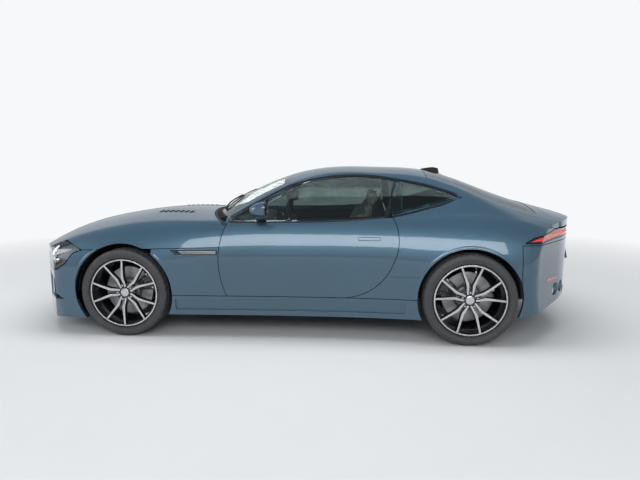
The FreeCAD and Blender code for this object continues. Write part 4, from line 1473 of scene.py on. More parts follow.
@dataclass(frozen=True)
class Gap:
    """Fine dark line round an outline where a flap or a flush piece meets the skin."""

    name: str
    outline: tuple[Flat, ...]
    body: str
    look: Look = Look.LEFT
    width: float = 2.4
    corner: float = 10.0
    sides: tuple[Side, ...] = (Side.LEFT, Side.RIGHT)

    def build(self, skin: Skin) -> None:
        """Lay the line on one side or on both.

        Args:
            skin: Surface of the body.
        """
        for side in self.sides:
            look = Look.side(side) if self.look is Look.LEFT else self.look
            maker = bmesh.new()
            outline = sided(rounded(self.outline, self.corner), look, side)
            skin.band(maker, outline, grown(outline, self.width), look, 0.25, 0.6)
            name = self.name + ("_" + side.word if len(self.sides) > 1 else "")
            shown(maker, name, (SHADOW,), self.body.format(side=side.word))


@dataclass
class BodyTrim:
    """Flush door handles, vents, joints, flaps, arch lips and the fin, in millimetres."""

    handle: tuple[Flat, ...] = ((-466, 767), (-466, 793), (-633, 793), (-633, 767))
    arch_radii: tuple[tuple[float, float], ...] = ((1335.0, 387.0), (-1287.0, 382.0))
    hub_height: float = 343.0

    def plates(self) -> tuple[Plate | Gap, ...]:
        """Table of what is laid on the skin."""
        grip = tuple(grown(self.handle, -3.2))
        return (
            Plate("handle_pocket", self.handle, SHADOW, "door_{side}", lift=0.3, depth=0.8, corner=13),
            Plate("handle", grip, PAINT, "door_{side}", lift=2.4, depth=3.0, corner=10, cell=12),
            Plate("vent_floor", ((949, 683.5), (596, 687), (596, 680), (897, 677), (884, 662), (596, 665),
                                 (596, 651), (902, 647)), GLOSS_BLACK, "body", lift=0.5, depth=1.2, corner=1,
                  cell=12),
            Plate("bonnet_vent", ((1262, 300), (1240, 392), (898, 436), (912, 352)), GLOSS_BLACK, "bonnet",
                  Look.ABOVE, lift=0.8, corner=16),
            Gap("side_joint", ((-716, 505), (-945, 505), (-945, 506.5), (-716, 506.5)), "body", corner=0.3,
                width=1.0),
            Gap("spoiler_joint", ((-1945, -520), (-1945, 520), (-2110, 540), (-2110, -540)), "tailgate",
                Look.ABOVE, sides=(Side.LEFT,), width=3.0),
            Plate("rear_reflector", ((620, 452), (780, 458), (780, 476), (620, 470)), RED_LENS, "body",
                  Look.REAR, lift=2.0, depth=3.0, corner=5),
            Plate("brake_lamp", ((-1160, -160), (-1160, 160), (-1176, 164), (-1176, -164)), RED_LENS,
                  "tailgate", Look.ABOVE, lift=2.2, depth=3.0, corner=4, cell=14, sides=(Side.LEFT,)),
            Gap("fuel_flap", tuple(oval((84, 84), 2.6, 40, (-1090, 865))), "body", corner=1.0,
                sides=(Side.RIGHT,)),
            Plate("roof_header", ((-1012, 452), (-1012, -452), (-1182, -500), (-1182, 500)), GLOSS_BLACK,
                  "tailgate", Look.ABOVE, lift=0.7, corner=20, sides=(Side.LEFT,)),
        )

    def bonnet_slats(self, skin: Skin) -> None:
        """Slats across the two bonnet vents.

        Args:
            skin: Surface of the body.
        """
        for side in Side:
            maker = bmesh.new()
            for number in range(7):
                x = 935 + number * 46
                low = 352 + (x - 912) * -0.149
                high = 428 + (x - 898) * -0.129
                outline = sided(rounded(((x, low), (x + 16, low - 2), (x + 24, high - 4), (x + 8, high)), 4),
                                Look.ABOVE, side)
                skin.lay(maker, outline, Look.ABOVE, 4.2, 3.2, 20)
            shown(maker, "bonnet_slats_" + side.word, (TRIM,), "bonnet")

    def vent_blades(self) -> None:
        """Bright blade in each wing vent, flush with the wing."""
        for side in Side:
            look = Look.side(side)
            sheet = Sheet(["front_wings"], look, (568, 626), (992, 694))
            maker = bmesh.new()
            blade = rounded(((890, 679), (603, 682), (603, 658), (866, 655)), 6)
            edge = rounded(((884, 675), (612, 678), (612, 675.5), (882, 672.5)), 1)
            sheet.lay(maker, blade, look, -0.4, 3.0, 12)
            sheet.lay(maker, edge, look, 0.6, 1.6, 12)
            shown(maker, "vent_blade_" + side.word, (VENT_METAL,), "body")

    def arch_lips(self, skin: Skin) -> None:
        """Rolled lips round the wheel arches.

        Args:
            skin: Surface of the body.
        """
        for side in Side:
            look = Look.side(side)
            maker = bmesh.new()
            for (axle, radius), ends in zip(self.arch_radii, ((12, 163), (20, 172))):
                turns = [math.radians(ends[0] + (ends[1] - ends[0]) * step / 60) for step in range(61)]
                loops = []
                for more, lift in ((0.5, -4), (0.5, 1.6), (5, 3.2), (14, 1.6), (20, 0.1)):
                    reach = radius + more
                    loops.append([skin.point((axle + reach * math.cos(turn),
                                              self.hub_height + reach * math.sin(turn)), look, lift)
                                  for turn in turns])
                rings(maker, loops, closed=False)
            shown(maker, "arch_lips_" + side.word, (PAINT,), "body", 60)

    def antenna(self, skin: Skin) -> None:
        """Fin at the rear of the roof.

        Args:
            skin: Surface of the body.
        """
        maker = bmesh.new()
        base = skin.point((-1095, 0), Look.ABOVE, -3)
        ends = [skin.point((x, 0), Look.ABOVE, 0) for x in (-1015, -1175)]
        slope = (ends[0].z - ends[1].z) / (ends[0].x - ends[1].x)
        loops = []
        for height, front, back, half in ((0, 82, -86, 30), (10, 74, -84, 26), (24, 40, -80, 16),
                                          (40, -6, -76, 8), (47, -32, -72, 3.5)):
            loops.append([base + mm(u, v, height + slope * u)
                          for u, v in oval(((front - back) / 2, half), 2.2, 28, ((front + back) / 2, 0))])
        rings(maker, loops, capped=True)
        shown(maker, "antenna_fin", (GLOSS_BLACK,), "tailgate", 50)

    def build(self, skin: Skin) -> None:
        """Lay every plate and make the raised pieces.

        Args:
            skin: Surface of the body.
        """
        for plate in self.plates():
            plate.build(skin)
        self.bonnet_slats(skin)
        self.vent_blades()
        self.arch_lips(skin)
        self.antenna(skin)
        LOG.info("body trim laid")


@dataclass
class Windows:
    """Black surrounds, borders and seals of the glass, in millimetres."""

    door_glass: tuple[Flat, ...] = ((520, 860), (505, 918), (72, 1147), (-748, 1200), (-676, 946),
                                    (-660, 860))
    door_bow: Flat = (-330, 1226)
    quarter_glass: tuple[Flat, ...] = ((-762, 1199), (-1222, 1082), (-1090, 1036), (-787, 962), (-690, 948))
    quarter_bow: Flat = (-1000, 1154)
    screen: tuple[Flat, ...] = ((540, 728), (540, -728), (84, -552), (84, 552))
    screen_bows: ClassVar[dict[int, Flat]] = {0: (790, 0), 2: (122, 0)}
    trim_width: float = 13.0

    def side_trims(self, skin: Skin, side: Side) -> None:
        """Trim round the side windows.

        Args:
            skin: Surface of the body.
            side: Side of the car.
        """
        look = Look.side(side)
        maker = bmesh.new()
        outline = grown(traced(self.door_glass, {2: self.door_bow}), 7.5)
        outer = grown(outline, self.trim_width)
        skin.band(maker, outline[1:-2], outer[1:-2], look, 1.4, 2.4, closed=False)
        quarter = grown(traced(self.quarter_glass, {0: self.quarter_bow}), 5.5)
        skin.band(maker, quarter, grown(quarter, self.trim_width), look, 1.4, 2.4)
        shown(maker, "window_trim_" + side.word, (GLOSS_BLACK,), "body")

    def post(self, glass: Skin, side: Side) -> None:
        """Gloss cover of the post behind the side glass.

        Args:
            glass: Surface of the side glass.
            side: Side of the car.
        """
        maker = bmesh.new()
        outline = ((-706, 1206), (-786, 1196), (-792, 950), (-728, 945))
        glass.lay(maker, outline, Look.side(side), -10.5, 2.5, 30)
        shown(maker, "post_cover_" + side.word, (GLOSS_BLACK,), "body")

    def seal(self, skin: Skin, glass: Skin, side: Side) -> None:
        """Rubber seal where the door glass leaves the door.

        Args:
            skin: Surface of the door.
            glass: Surface of its glass.
            side: Side of the car.
        """
        maker = bmesh.new()
        stations = range(505, -671, -25)
        widths = [side.value * (770 + 3 * step) for step in range(36)]
        tube(maker, skin.seam(glass, stations, widths, 2.0), 5.5, 8)
        shown(maker, "belt_seal_" + side.word, (TRIM,), "door_" + side.word, 70)

    def border(self, skin: Skin, name: str, outline: Sequence[Flat], width: float, body: str) -> None:
        """Black border printed round a screen.

        Args:
            skin: Surface of the screen.
            name: Name of the border.
            outline: Edge of the screen.
            width: Width of the border.
            body: CAD body that carries it.
        """
        maker = bmesh.new()
        skin.band(maker, grown(outline, -3), grown(outline, -width), Look.ABOVE, 0.3, 0.8)
        shown(maker, name, (GLOSS_BLACK,), body)

    def build(self, skin: Skin) -> None:
        """Trim all glass.

        Args:
            skin: Surface of the body.
        """
        for side in Side:
            glass = Skin(["door_glass_" + side.word, "quarter_glass"])
            self.side_trims(skin, side)
            self.post(glass, side)
            self.seal(Skin(["door_" + side.word]), Skin(["door_glass_" + side.word]), side)
        front = traced(self.screen, self.screen_bows)
        self.border(Skin(["windscreen"]), "screen_border", front, 42, "body")
        low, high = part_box("tailgate_glass")
        top, foot = high.x / MM, low.x / MM
        rear = ((top, 500), (top, -500), (-1500, -560), (foot, -540), (foot, 540), (-1500, 560))
        self.border(Skin(["tailgate_glass"]), "rear_border", rear, 48, "tailgate")
        LOG.info("windows trimmed")


@dataclass
class Headlamp:
    """Clear cover over a dark bucket with light guide and reflector modules, in millimetres."""

    side: Side
    outline: tuple[Flat, ...] = ((1661, 673), (1815, 737), (1935, 690), (2117, 653), (2117, 526), (1960, 517),
                                 (1860, 525), (1790, 571), (1732, 650))
    guide: tuple[Flat, ...] = ((2112, 636), (2050, 628), (1985, 621), (1938, 624), (1912, 646), (1893, 678),
                               (1876, 700))
    modules: tuple[Place, ...] = ((2062, 574, 27), (1985, 570, 31), (1898, 580, 29))
    depth: float = 44.0

    def module(self, maker: Maker, skin: Skin, spot: Place) -> None:
        """Bowl with a small lens at one place of the lamp.

        Args:
            maker: The bmesh that gets the faces.
            skin: Surface of the body.
            spot: X, Z and radius.
        """
        look = Look.side(self.side)
        x, z, radius = spot
        top, deep = skin.point((x, z), look, -10), skin.point((x, z), look, -self.depth + 4)
        axis = (top - deep).normalized()
        part = bmesh.new()
        depth = (top - deep).length / MM
        lathe(part, ((depth, radius), (depth - 1.5, radius + 1.5), (0, radius * 0.8)), 40, 0)
        lathe(part, ((depth, radius), (depth - 8, radius * 0.84), (depth - 20, radius * 0.6),
                     (depth - 24, radius * 0.42)), 40, 0)
        lathe(part, ((depth - 24, radius * 0.46), (depth - 14, radius * 0.42), (depth - 9, radius * 0.26),
                     (depth - 7, 0.01)), 32, 1)
        merge(maker, part, Matrix.Translation(deep) @ axis.to_track_quat("Y", "Z").to_matrix().to_4x4())

    def build(self, skin: Skin) -> None:
        """Make bucket, modules, guide and cover.

        Args:
            skin: Surface of the body.
        """
        word, look = self.side.word, Look.side(self.side)
        outline = rounded(grown(self.outline, -2.0), 14, 3)
        maker = bmesh.new()
        skin.lay(maker, outline, look, -self.depth, 3.0, 22, 1)
        skin.wall(maker, outline, look, -1.0, -self.depth)
        bucket = shown(maker, "lamp_bucket_" + word, (GLOSS_BLACK, LAMP_FLOOR), "body")
        if self.side is Side.LEFT:
            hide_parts("headlamps")
        maker = bmesh.new()
        for spot in self.modules:
            self.module(maker, skin, spot)
        shown(maker, "lamp_modules_" + word, (CHROME, LAMP_GLASS), "body", 40)
        maker = bmesh.new()
        tube(maker, skin.line(self.guide, look, -9, 8), 5.5, 12)
        shown(maker, "lamp_guide_" + word, (GUIDE,), "body", 60)
        maker = bmesh.new()
        brow = [(x, z - 14) for x, z in self.guide]
        loops = [skin.line(brow, look, lift, 12) for lift in (-16, -40)]
        rings(maker, loops, closed=False)
        shown(maker, "lamp_brow_" + word, (CHROME,), "body", 50)
        maker = bmesh.new()
        skin.lay(maker, outline, look, 0.4, 2.6, 18)
        shown(maker, "lamp_cover_" + word, (LENS,), "body", 40)
        LOG.info("headlamp %s built", word)


@dataclass
class TailLamp:
    """Slim red lamp on a black ground, with a light guide and ribs, in millimetres."""

    side: Side
    flank: tuple[Flat, ...] = ((-1704, 771), (-1768, 796), (-1840, 812), (-1888, 822), (-1888, 786),
                               (-1800, 778))
    rear: tuple[Flat, ...] = ((430, 818), (470, 836), (640, 837), (765, 824), (765, 787), (640, 793),
                              (470, 803))
    flank_guide: tuple[Flat, ...] = ((-1728, 776), (-1800, 785), (-1885, 793))
    rear_guide: tuple[Flat, ...] = ((466, 810), (600, 802), (763, 795))

    def build(self, skin: Skin) -> None:
        """Make lens, guide and ribs.

        Args:
            skin: Surface of the body.
        """
        word, look = self.side.word, Look.side(self.side)
        maker = bmesh.new()
        rear = sided(rounded(self.rear, 8), Look.REAR, self.side)
        skin.lay(maker, rounded(self.flank, 8), look, 1.4, 2.6, 12)
        skin.lay(maker, rear, Look.REAR, 1.4, 2.6, 12)
        shown(maker, "tail_lens_" + word, (RED_LENS,), "body")
        maker = bmesh.new()
        tube(maker, skin.line(self.flank_guide, look, 2.4, 15), 1.8, 8)
        route = sided(self.rear_guide, Look.REAR, self.side)
        tube(maker, skin.line(route, Look.REAR, 2.4, 15), 1.8, 8)
        shown(maker, "tail_guide_" + word, (RED_GLOW,), "body", 60)
        maker = bmesh.new()
        for number in range(18):
            y = 480 + number * 16
            route = sided([(y, 808), (y + 4, 828)], Look.REAR, self.side)
            tube(maker, skin.line(route, Look.REAR, 1.6, 10), 1.3, 6)
        shown(maker, "tail_ribs_" + word, (RED_LENS,), "body", 60)
        LOG.info("tail lamp %s built", word)


@dataclass
class BlankPlate:
    """Flat blank plate in a dark tray on the tail, in millimetres."""

    middle: float = 617.0
    half: Flat = (260.0, 55.0)
    reach: float = 1.5

    def build(self, skin: Skin) -> None:
        """Stand the tray on the tail where its surface lies.

        Args:
            skin: Surface of the tail.
        """
        rows = [[skin.point((y, self.middle + shift), Look.REAR, 0) for y in (-260, 0, 260)]
                for shift in (-self.half[1], self.half[1])]
        low, high = (min(spot.x for spot in row) / MM for row in rows)
        lean = math.degrees(math.atan2(high - low, self.half[1] * 2))
        place = posed(((low + high) / 2 - self.reach, 0, self.middle), lean, "Y")
        for name, finish, wide, tall, back, front in (("plate_tray", GLOSS_BLACK, 14, 12, 26.0, 0.0),
                                                      ("blank_plate", PLATE, 0, 0, 1.0, -2.5)):
            maker = bmesh.new()
            u, v = self.half[0] + wide, self.half[1] + tall
            loops = []
            for x, inset in ((back, 0), (front + 1.5, 0), (front, 1.5), (front, 8)):
                a, b = u - inset, v - inset
                loops.append([mm(x, *spot) for spot in rounded(((-a, -b), (a, -b), (a, b), (-a, b)), 12, 4)])
            rings(maker, loops, capped=True)
            shown(placed(maker, place), name, (finish,), "body", 40)
        maker = bmesh.new()
        for y in (-150, 150):
            part = bmesh.new()
            lathe(part, ((0, 11), (-6, 11), (-8, 9), (-8, 0.01)), 28)
            merge(maker, part, place @ posed((-2, y, self.half[1] + 4), -90, "Z"))
        shown(maker, "plate_lights", (CHROME,), "body", 40)
        LOG.info("plate built")


@dataclass
class Grilles:
    """Honeycomb in the nose, slats and a painted blade in the corner intakes, in millimetres."""

    opening: tuple[Flat, ...] = ((-440, 612), (-478, 585), (-440, 400), (-415, 382), (415, 382), (440, 400),
                                 (478, 585), (440, 612))
    cell: float = 14.0
    intake: tuple[Flat, ...] = ((648, 434), (648, 272), (884, 291), (884, 434))
    blade: tuple[Flat, ...] = ((672, 282), (712, 426), (756, 430), (728, 287))
    lower: tuple[Flat, ...] = ((-425, 292), (425, 292), (380, 352), (-380, 352))

    def lattice(self, sheet: Skin) -> None:
        """Six-sided cells all over the opening, on a black ground that is painted shade behind them.

        Args:
            sheet: Sheet over the grille.
        """
        maker = bmesh.new()
        # black sheet over the slots: painted shade behind the lattice
        sheet.lay(maker, grown(self.opening, -1.5), Look.FRONT, 0.8, 1.6, 20)
        shown(maker, "grille_ground", (SHADOW,), "body")
        maker = bmesh.new()
        step_y, step_z = self.cell * math.sqrt(3), self.cell * 1.5
        corners = [(math.sin(math.tau * k / 6), math.cos(math.tau * k / 6)) for k in range(6)]
        walls = ((self.cell, 5), (self.cell * 0.84, 8.5), (self.cell * 0.76, 0.5))
        for row in range(int(202 / step_z) + 1):
            z = 397 + row * step_z
            for column in range(-20, 21):
                y = (column + (row % 2) / 2) * step_y
                if abs(y) > 404 + (z - 382) * 0.3:
                    continue
                loops = [[sheet.point((y + u * reach, z + v * reach), Look.FRONT, lift) for u, v in corners]
                         for reach, lift in walls]
                rings(maker, loops)
        shown(maker, "grille_lattice", (GLOSS_BLACK,), "body", 30)

    def frame(self, skin: Skin) -> None:
        """Frame round the opening with a bright inner line.

        Args:
            skin: Surface of the body.
        """
        maker = bmesh.new()
        outline = grown(rounded(self.opening, 12, 3), 6.5)
        skin.band(maker, outline, grown(outline, 8), Look.FRONT, 1.8, 6, cell=15)
        shown(maker, "grille_frame", (GLOSS_BLACK,), "body", 40)
        maker = bmesh.new()
        path = [skin.point(place, Look.FRONT, 2.0) for place in grown(outline, 4)]
        tube(maker, [*path, path[0], path[1]], 1.7, 8)
        shown(maker, "grille_line", (VENT_METAL,), "body", 60)

    def corner(self, skin: Skin, side: Side) -> None:
        """Black ground as painted shade, slats, painted blade and rim of one corner intake.

        Args:
            skin: Surface of the body.
            side: Side of the car.
        """
        ends = sorted((644 * side.value, 890 * side.value))
        sheet = Sheet(["grille"], Look.FRONT, (ends[0], 264), (ends[1], 438))
        maker = bmesh.new()
        # black sheet over the slots: painted shade behind the slats
        sheet.lay(maker, sided(rounded(self.intake, 12), Look.FRONT, side), Look.FRONT, 0.8, 1.6, 16)
        shown(maker, "intake_ground_" + side.word, (SHADOW,), "body")
        maker = bmesh.new()
        for number in range(5):
            z = 300 + number * 27
            slat = ((656, z - 3), (656, z + 5), (876, z + 9), (876, z + 2))
            sheet.lay(maker, sided(slat, Look.FRONT, side), Look.FRONT, 9, 8, 16)
        shown(maker, "intake_slats_" + side.word, (TRIM,), "body")
        maker = bmesh.new()
        sheet.lay(maker, sided(rounded(self.blade, 8), Look.FRONT, side), Look.FRONT, 19, 9, 12)
        shown(maker, "intake_blade_" + side.word, (PAINT,), "body")
        maker = bmesh.new()
        rim = rounded(((880, 446.5), (633, 446.5), (633, 254), (880, 275)), 10)[6:-6]
        outer = [(880, 455), *grown([(900, 446.5), (633, 446.5), (633, 254), (900, 275)], 8)[1:3], (880, 267)]
        outer = rounded(outer, 12)[6:-6]
        skin.band(maker, sided(rim, Look.FRONT, side), sided(outer, Look.FRONT, side), Look.FRONT, 1.6, 5,
                  closed=False, cell=15)
        shown(maker, "intake_rim_" + side.word, (GLOSS_BLACK,), "body", 40)

    def lower_mesh(self, skin: Skin) -> None:
        """Ribbed plate low on the nose.

        Args:
            skin: Surface of the body.
        """
        maker = bmesh.new()
        skin.lay(maker, rounded(self.lower, 16), Look.FRONT, 2.2, 3.2, 14)
        for number in range(4):
            z = 300 + number * 13
            half = 412 - (z - 292) * 0.75
            rib = ((-half, z), (half, z), (half - 3, z + 5), (3 - half, z + 5))
            skin.lay(maker, rib, Look.FRONT, 5.5, 3.6, 16)
        shown(maker, "lower_mesh", (TRIM,), "body")

    def build(self, outside: Skin) -> None:
        """Make the lattice, its frame, the corners and the lower plate.

        Args:
            outside: Surface of the body.
        """
        self.lattice(Sheet(["grille"], Look.FRONT, (-480, 380), (480, 614)))
        self.frame(outside)
        for side in Side:
            self.corner(outside, side)
        self.lower_mesh(outside)
        LOG.info("grilles built")


@dataclass
class Mirror:
    """Door mirror with a drop-shaped cap, a black foot and its glass, in millimetres.

    Stations run rearwards: x, half width, half height.
    """

    side: Side
    centre: Place = (262.0, 957.0, 999.0)
    stations: tuple[Place, ...] = (
        (328, 3, 3), (325, 22, 14), (314, 40, 28), (294, 54, 42), (264, 61, 52), (232, 63, 57), (208, 62, 57),
        (200, 60, 55), (198, 57, 52), (204, 55, 50), (205, 0.5, 0.5))

    def build(self) -> None:
        """Make cap, glass and foot."""
        hand = self.side.value
        _, y0, z0 = self.centre
        maker = bmesh.new()
        loops = []
        for x, half_y, half_z in self.stations:
            slide = -(x - 262) * 0.16
            lift = -(325 - x) * 0.03 - (x - 262) * 0.10
            loops.append([mm(x, (y0 + slide + u) * hand, z0 + lift + v)
                          for u, v in oval((half_y, half_z), 2.5, 48)])
        rings(maker, loops)
        for face in maker.faces:
            place = face.calc_center_median() / MM
            if place.z < z0 - 30 or place.x < 204.2:
                face.material_index = 1
        cap = shown(maker, "mirror_cap_" + self.side.word, (PAINT, GLOSS_BLACK), "door_" + self.side.word, 35)
        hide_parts("mirror_" + self.side.word)
        maker = bmesh.new()
        rings(maker, [[mm(x, (y0 + 8 + u) * hand, z0 + v + 1) for u, v in oval((52, 46), 2.6, 40)]
                      for x in (204.5, 203.2)], capped=True)
        shown(maker, "mirror_glass_" + self.side.word, (SILVERED,), "door_" + self.side.word)
        maker = bmesh.new()
        arm = ((815, 902, 40, 11), (842, 916, 36, 10), (880, 930, 30, 9), (918, 944, 27, 9),
               (940, 962, 30, 14))
        rings(maker, [[mm(266 + u, y * hand, z + v) for u, v in oval((half, thick), 2.4, 28)]
                      for y, z, half, thick in arm], capped=True)
        shown(maker, "mirror_foot_" + self.side.word, (GLOSS_BLACK,), "door_" + self.side.word, 40)
        LOG.info("mirror %s built", self.side.word)


@dataclass
class Scuttle:
    """Louvres below the windscreen and two wipers, in millimetres."""

    pivots: tuple[Flat, ...] = ((618, 470), (640, -120))
    tips: tuple[Flat, ...] = ((470, -60), (470, -660))

    def build(self) -> None:
        """Make louvres, arms and blades."""
        skin = Skin(["scuttle", "windscreen"])
        maker = bmesh.new()
        for number in range(58):
            y = -640 + number * 22.4
            bow = 790 - 228 * (y / 830) ** 2
            outline = ((bow - 62, y), (bow - 62, y + 8), (bow - 16, y + 10), (bow - 16, y + 2))
            skin.lay(maker, outline, Look.ABOVE, 3.0, 3.4, 50)
        shown(maker, "scuttle_louvres", (TRIM,), "body")
        for number, (pivot, tip) in enumerate(zip(self.pivots, self.tips)):
            maker = bmesh.new()
            hub, end = Vector(pivot), Vector(tip)
            middle = hub.lerp(end, 0.52)
            points = [skin.point(hub, Look.ABOVE, 16), skin.point(hub.lerp(end, 0.14), Look.ABOVE, 26),
                      skin.point(hub.lerp(end, 0.3), Look.ABOVE, 24), skin.point(middle, Look.ABOVE, 17)]
            tube(maker, points, 6, 10)
            route = [skin.point(middle.lerp(end, step / 6 - 0.98), Look.ABOVE, 9) for step in range(13)]
            tube(maker, route, 4.5, 8)
            tube(maker, [skin.point(hub, Look.ABOVE, height) for height in (-4, 20)], 13, 20)
            shown(maker, "wiper_%d" % number, (TRIM,), "body", 40)
        LOG.info("scuttle built")


@dataclass
class Exhausts:
    """Rolled lips and throats of the four tips, the throats black as painted shade, in millimetres."""

    axes: tuple[float, ...] = (530.0, 640.0, -530.0, -640.0)
    height: float = 372.0
    radius: float = 44.0

    def build(self) -> None:
        """Make a lip and a throat for each tip."""
        maker = bmesh.new()
        for y in self.axes:
            x = -2235 + 6e-4 * y * y + 25
            part = bmesh.new()
            lathe(part, ((-60, self.radius + 0.6), (-2, self.radius + 0.8), (3, self.radius - 0.5),
                         (4, self.radius - 3), (2, self.radius - 5.5), (-6, self.radius - 6.5)), 64)
            # throat wall and end disc take the black finish: painted shade inside the pipe
            lathe(part, ((-6, self.radius - 6.5), (-30, self.radius - 8), (-34, 0.01)), 64, 1)
            merge(maker, part, posed((x, y, self.height), 90, "Z"))
        shown(maker, "exhaust_tips", (STEEL, SHADOW), "body", 35)
        LOG.info("exhaust tips built")


@dataclass
class Seat:
    """Bucket seat with fluted cushion and backrest, bolsters and a headrest, in millimetres.

    Spine rows run from front to rear and then up: x, z, tilt in degrees, half width, half thickness.
    """

    side: Side
    offset: float = 385.0
    cushion: tuple[Spine, ...] = (
        (172, 392, 74, 168, 46), (120, 424, 90, 172, 50), (-60, 400, 95, 172, 50), (-240, 380, 97, 166, 52),
        (-330, 388, 90, 150, 50))
    backrest: tuple[Spine, ...] = (
        (-352, 420, 12, 140, 52), (-392, 520, 17, 150, 54), (-455, 700, 20, 162, 52),
        (-515, 860, 21, 168, 46), (-548, 950, 21, 150, 40), (-566, 996, 20, 118, 38),
        (-588, 1050, 20, 116, 40), (-604, 1092, 20, 98, 34))
    cushion_bolster: tuple[Spine, ...] = (
        (150, 410, 78, 34, 52), (60, 440, 88, 40, 62), (-140, 432, 94, 42, 66), (-300, 420, 97, 38, 62))
    back_bolster: tuple[Spine, ...] = (
        (-330, 470, 14, 36, 52), (-372, 600, 19, 44, 66), (-440, 780, 21, 44, 62), (-505, 920, 22, 30, 46))
    belt: tuple[Place, ...] = ((-640, 282, 1060), (-600, 237, 1000), (-560, 257, 700), (-520, 274, 420),
                               (-500, 276, 200))

    def pad(self, maker: Maker, rows: Sequence[Spine], middle: float, flutes: float = 0.0,
            around: int = 44, power: float = 3.2) -> None:
        """Add one cushion along a spine, its ends drawn in.

        Args:
            maker: The bmesh that gets the cushion.
            rows: Spine rows.
            middle: Y of the cushion's middle.
            flutes: Distance between its cross seams, none at 0.
            around: Points round a section.
            power: Squareness of a section.
        """
        spine = [Vector((row[0], row[1])) for row in rows]
        lengths = [0.0]
        for start, end in zip(spine, spine[1:]):
            lengths.append(lengths[-1] + (end - start).length)
        total = lengths[-1]
        steps = max(14, round(total / 9))
        loops = []
        for step in range(steps + 1):
            run = total * step / steps
            number = max(index for index in range(len(rows) - 1) if lengths[index] <= run + 1e-6)
            share = (run - lengths[number]) / (lengths[number + 1] - lengths[number])
            share = share * share * (3 - 2 * share) if 0 < number < len(rows) - 2 else share
            x, z, tilt, half, thick = (a + (b - a) * share for a, b in zip(rows[number], rows[number + 1]))
            ends = min(run, total - run)
            draw = math.sqrt(max(0.0, 1 - (1 - min(1.0, ends / 26 + 0.02)) ** 2))
            seam = 0.0
            if flutes:
                beside = abs((run + flutes / 2) % flutes - flutes / 2)
                seam = 5.5 * math.exp(-(beside / 6) ** 2)
            lean = math.radians(tilt)
            out = Vector((math.cos(lean), 0, math.sin(lean)))
            loop = []
            for v, u in oval((half * (0.55 + 0.45 * draw), thick * draw), power, around):
                face = u - (seam if u > 0 and abs(v) < half * 0.8 else 0)
                loop.append(mm(x + out.x * face, (middle + v), z + out.z * face))
            loops.append(loop)
        rings(maker, loops, capped=True)

    def piping(self, maker: Maker, rows: Sequence[Sequence[float]], middle: float) -> None:
        """Add piping along both edges of a fluted cushion.

        Args:
            maker: The bmesh that gets the piping.
            rows: Spine rows.
            middle: Y of the cushion's middle.
        """
        for hand in (1, -1):
            path = []
            for x, z, tilt, half, thick in rows[1:-1]:
                lean = math.radians(tilt)
                path.append(mm(x + math.cos(lean) * thick * 0.86, middle + hand * (half * 0.93),
                                    z + math.sin(lean) * thick * 0.86))
            tube(maker, path, 3.6, 8, 1)

    def build(self) -> None:
        """Make the soft pieces, the shell, the base with its rails, and the belt."""
        word, hand = self.side.word, self.side.value
        middle = self.offset * hand
        maker = bmesh.new()
        self.pad(maker, self.cushion, middle, 74)
        self.pad(maker, self.backrest[:6], middle, 78)
        self.pad(maker, self.backrest[5:], middle)
        for shift in (1, -1):
            self.pad(maker, self.cushion_bolster, middle + shift * 206, around=30, power=2.4)
            self.pad(maker, self.back_bolster, middle + shift * 192, around=30, power=2.4)
        self.piping(maker, self.cushion, middle)
        self.piping(maker, self.backrest[:6], middle)
        soft = shown(maker, "seat_cushions_" + word, (PALE_HIDE, DARK_HIDE), "body", 60)
        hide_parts("seat_" + word)
        maker = bmesh.new()
        shell = [(x - 46 * math.cos(math.radians(tilt)), z - 46 * math.sin(math.radians(tilt)), tilt,
                  half * 1.12, 16) for x, z, tilt, half, _ in self.backrest[:7]]
        self.pad(maker, shell, middle, around=36, power=5)
        shown(maker, "seat_shell_" + word, (DARK_HIDE,), "body", 50)
        maker = bmesh.new()
        pill(maker, (-330, middle - 215, 252), (140, middle + 215, 352), 30)
        for rail in (middle - 178, middle + 178):
            pill(maker, (-372, rail - 16, 171), (170, rail + 16, 190), 4)
            for x in (-250, 60):
                pill(maker, (x, rail - 8, 188), (x + 40, rail + 8, 262), 4)
        shown(maker, "seat_base_" + word, (TRIM,), "body", 40)
        maker = bmesh.new()
        web = ((-23, -1), (23, -1), (23, 1), (-23, 1))
        rings(maker, [[mm(x + u, middle + hand * y + v, z) for u, v in web] for x, y, z in self.belt],
              capped=True)
        buckle = middle - hand * 236
        pill(maker, (-150, buckle - 11, 400), (-110, buckle + 11, 500), 5)
        shown(maker, "seat_belt_" + word, (WEBBING,), "body", 40)
        LOG.info("seat %s built", word)


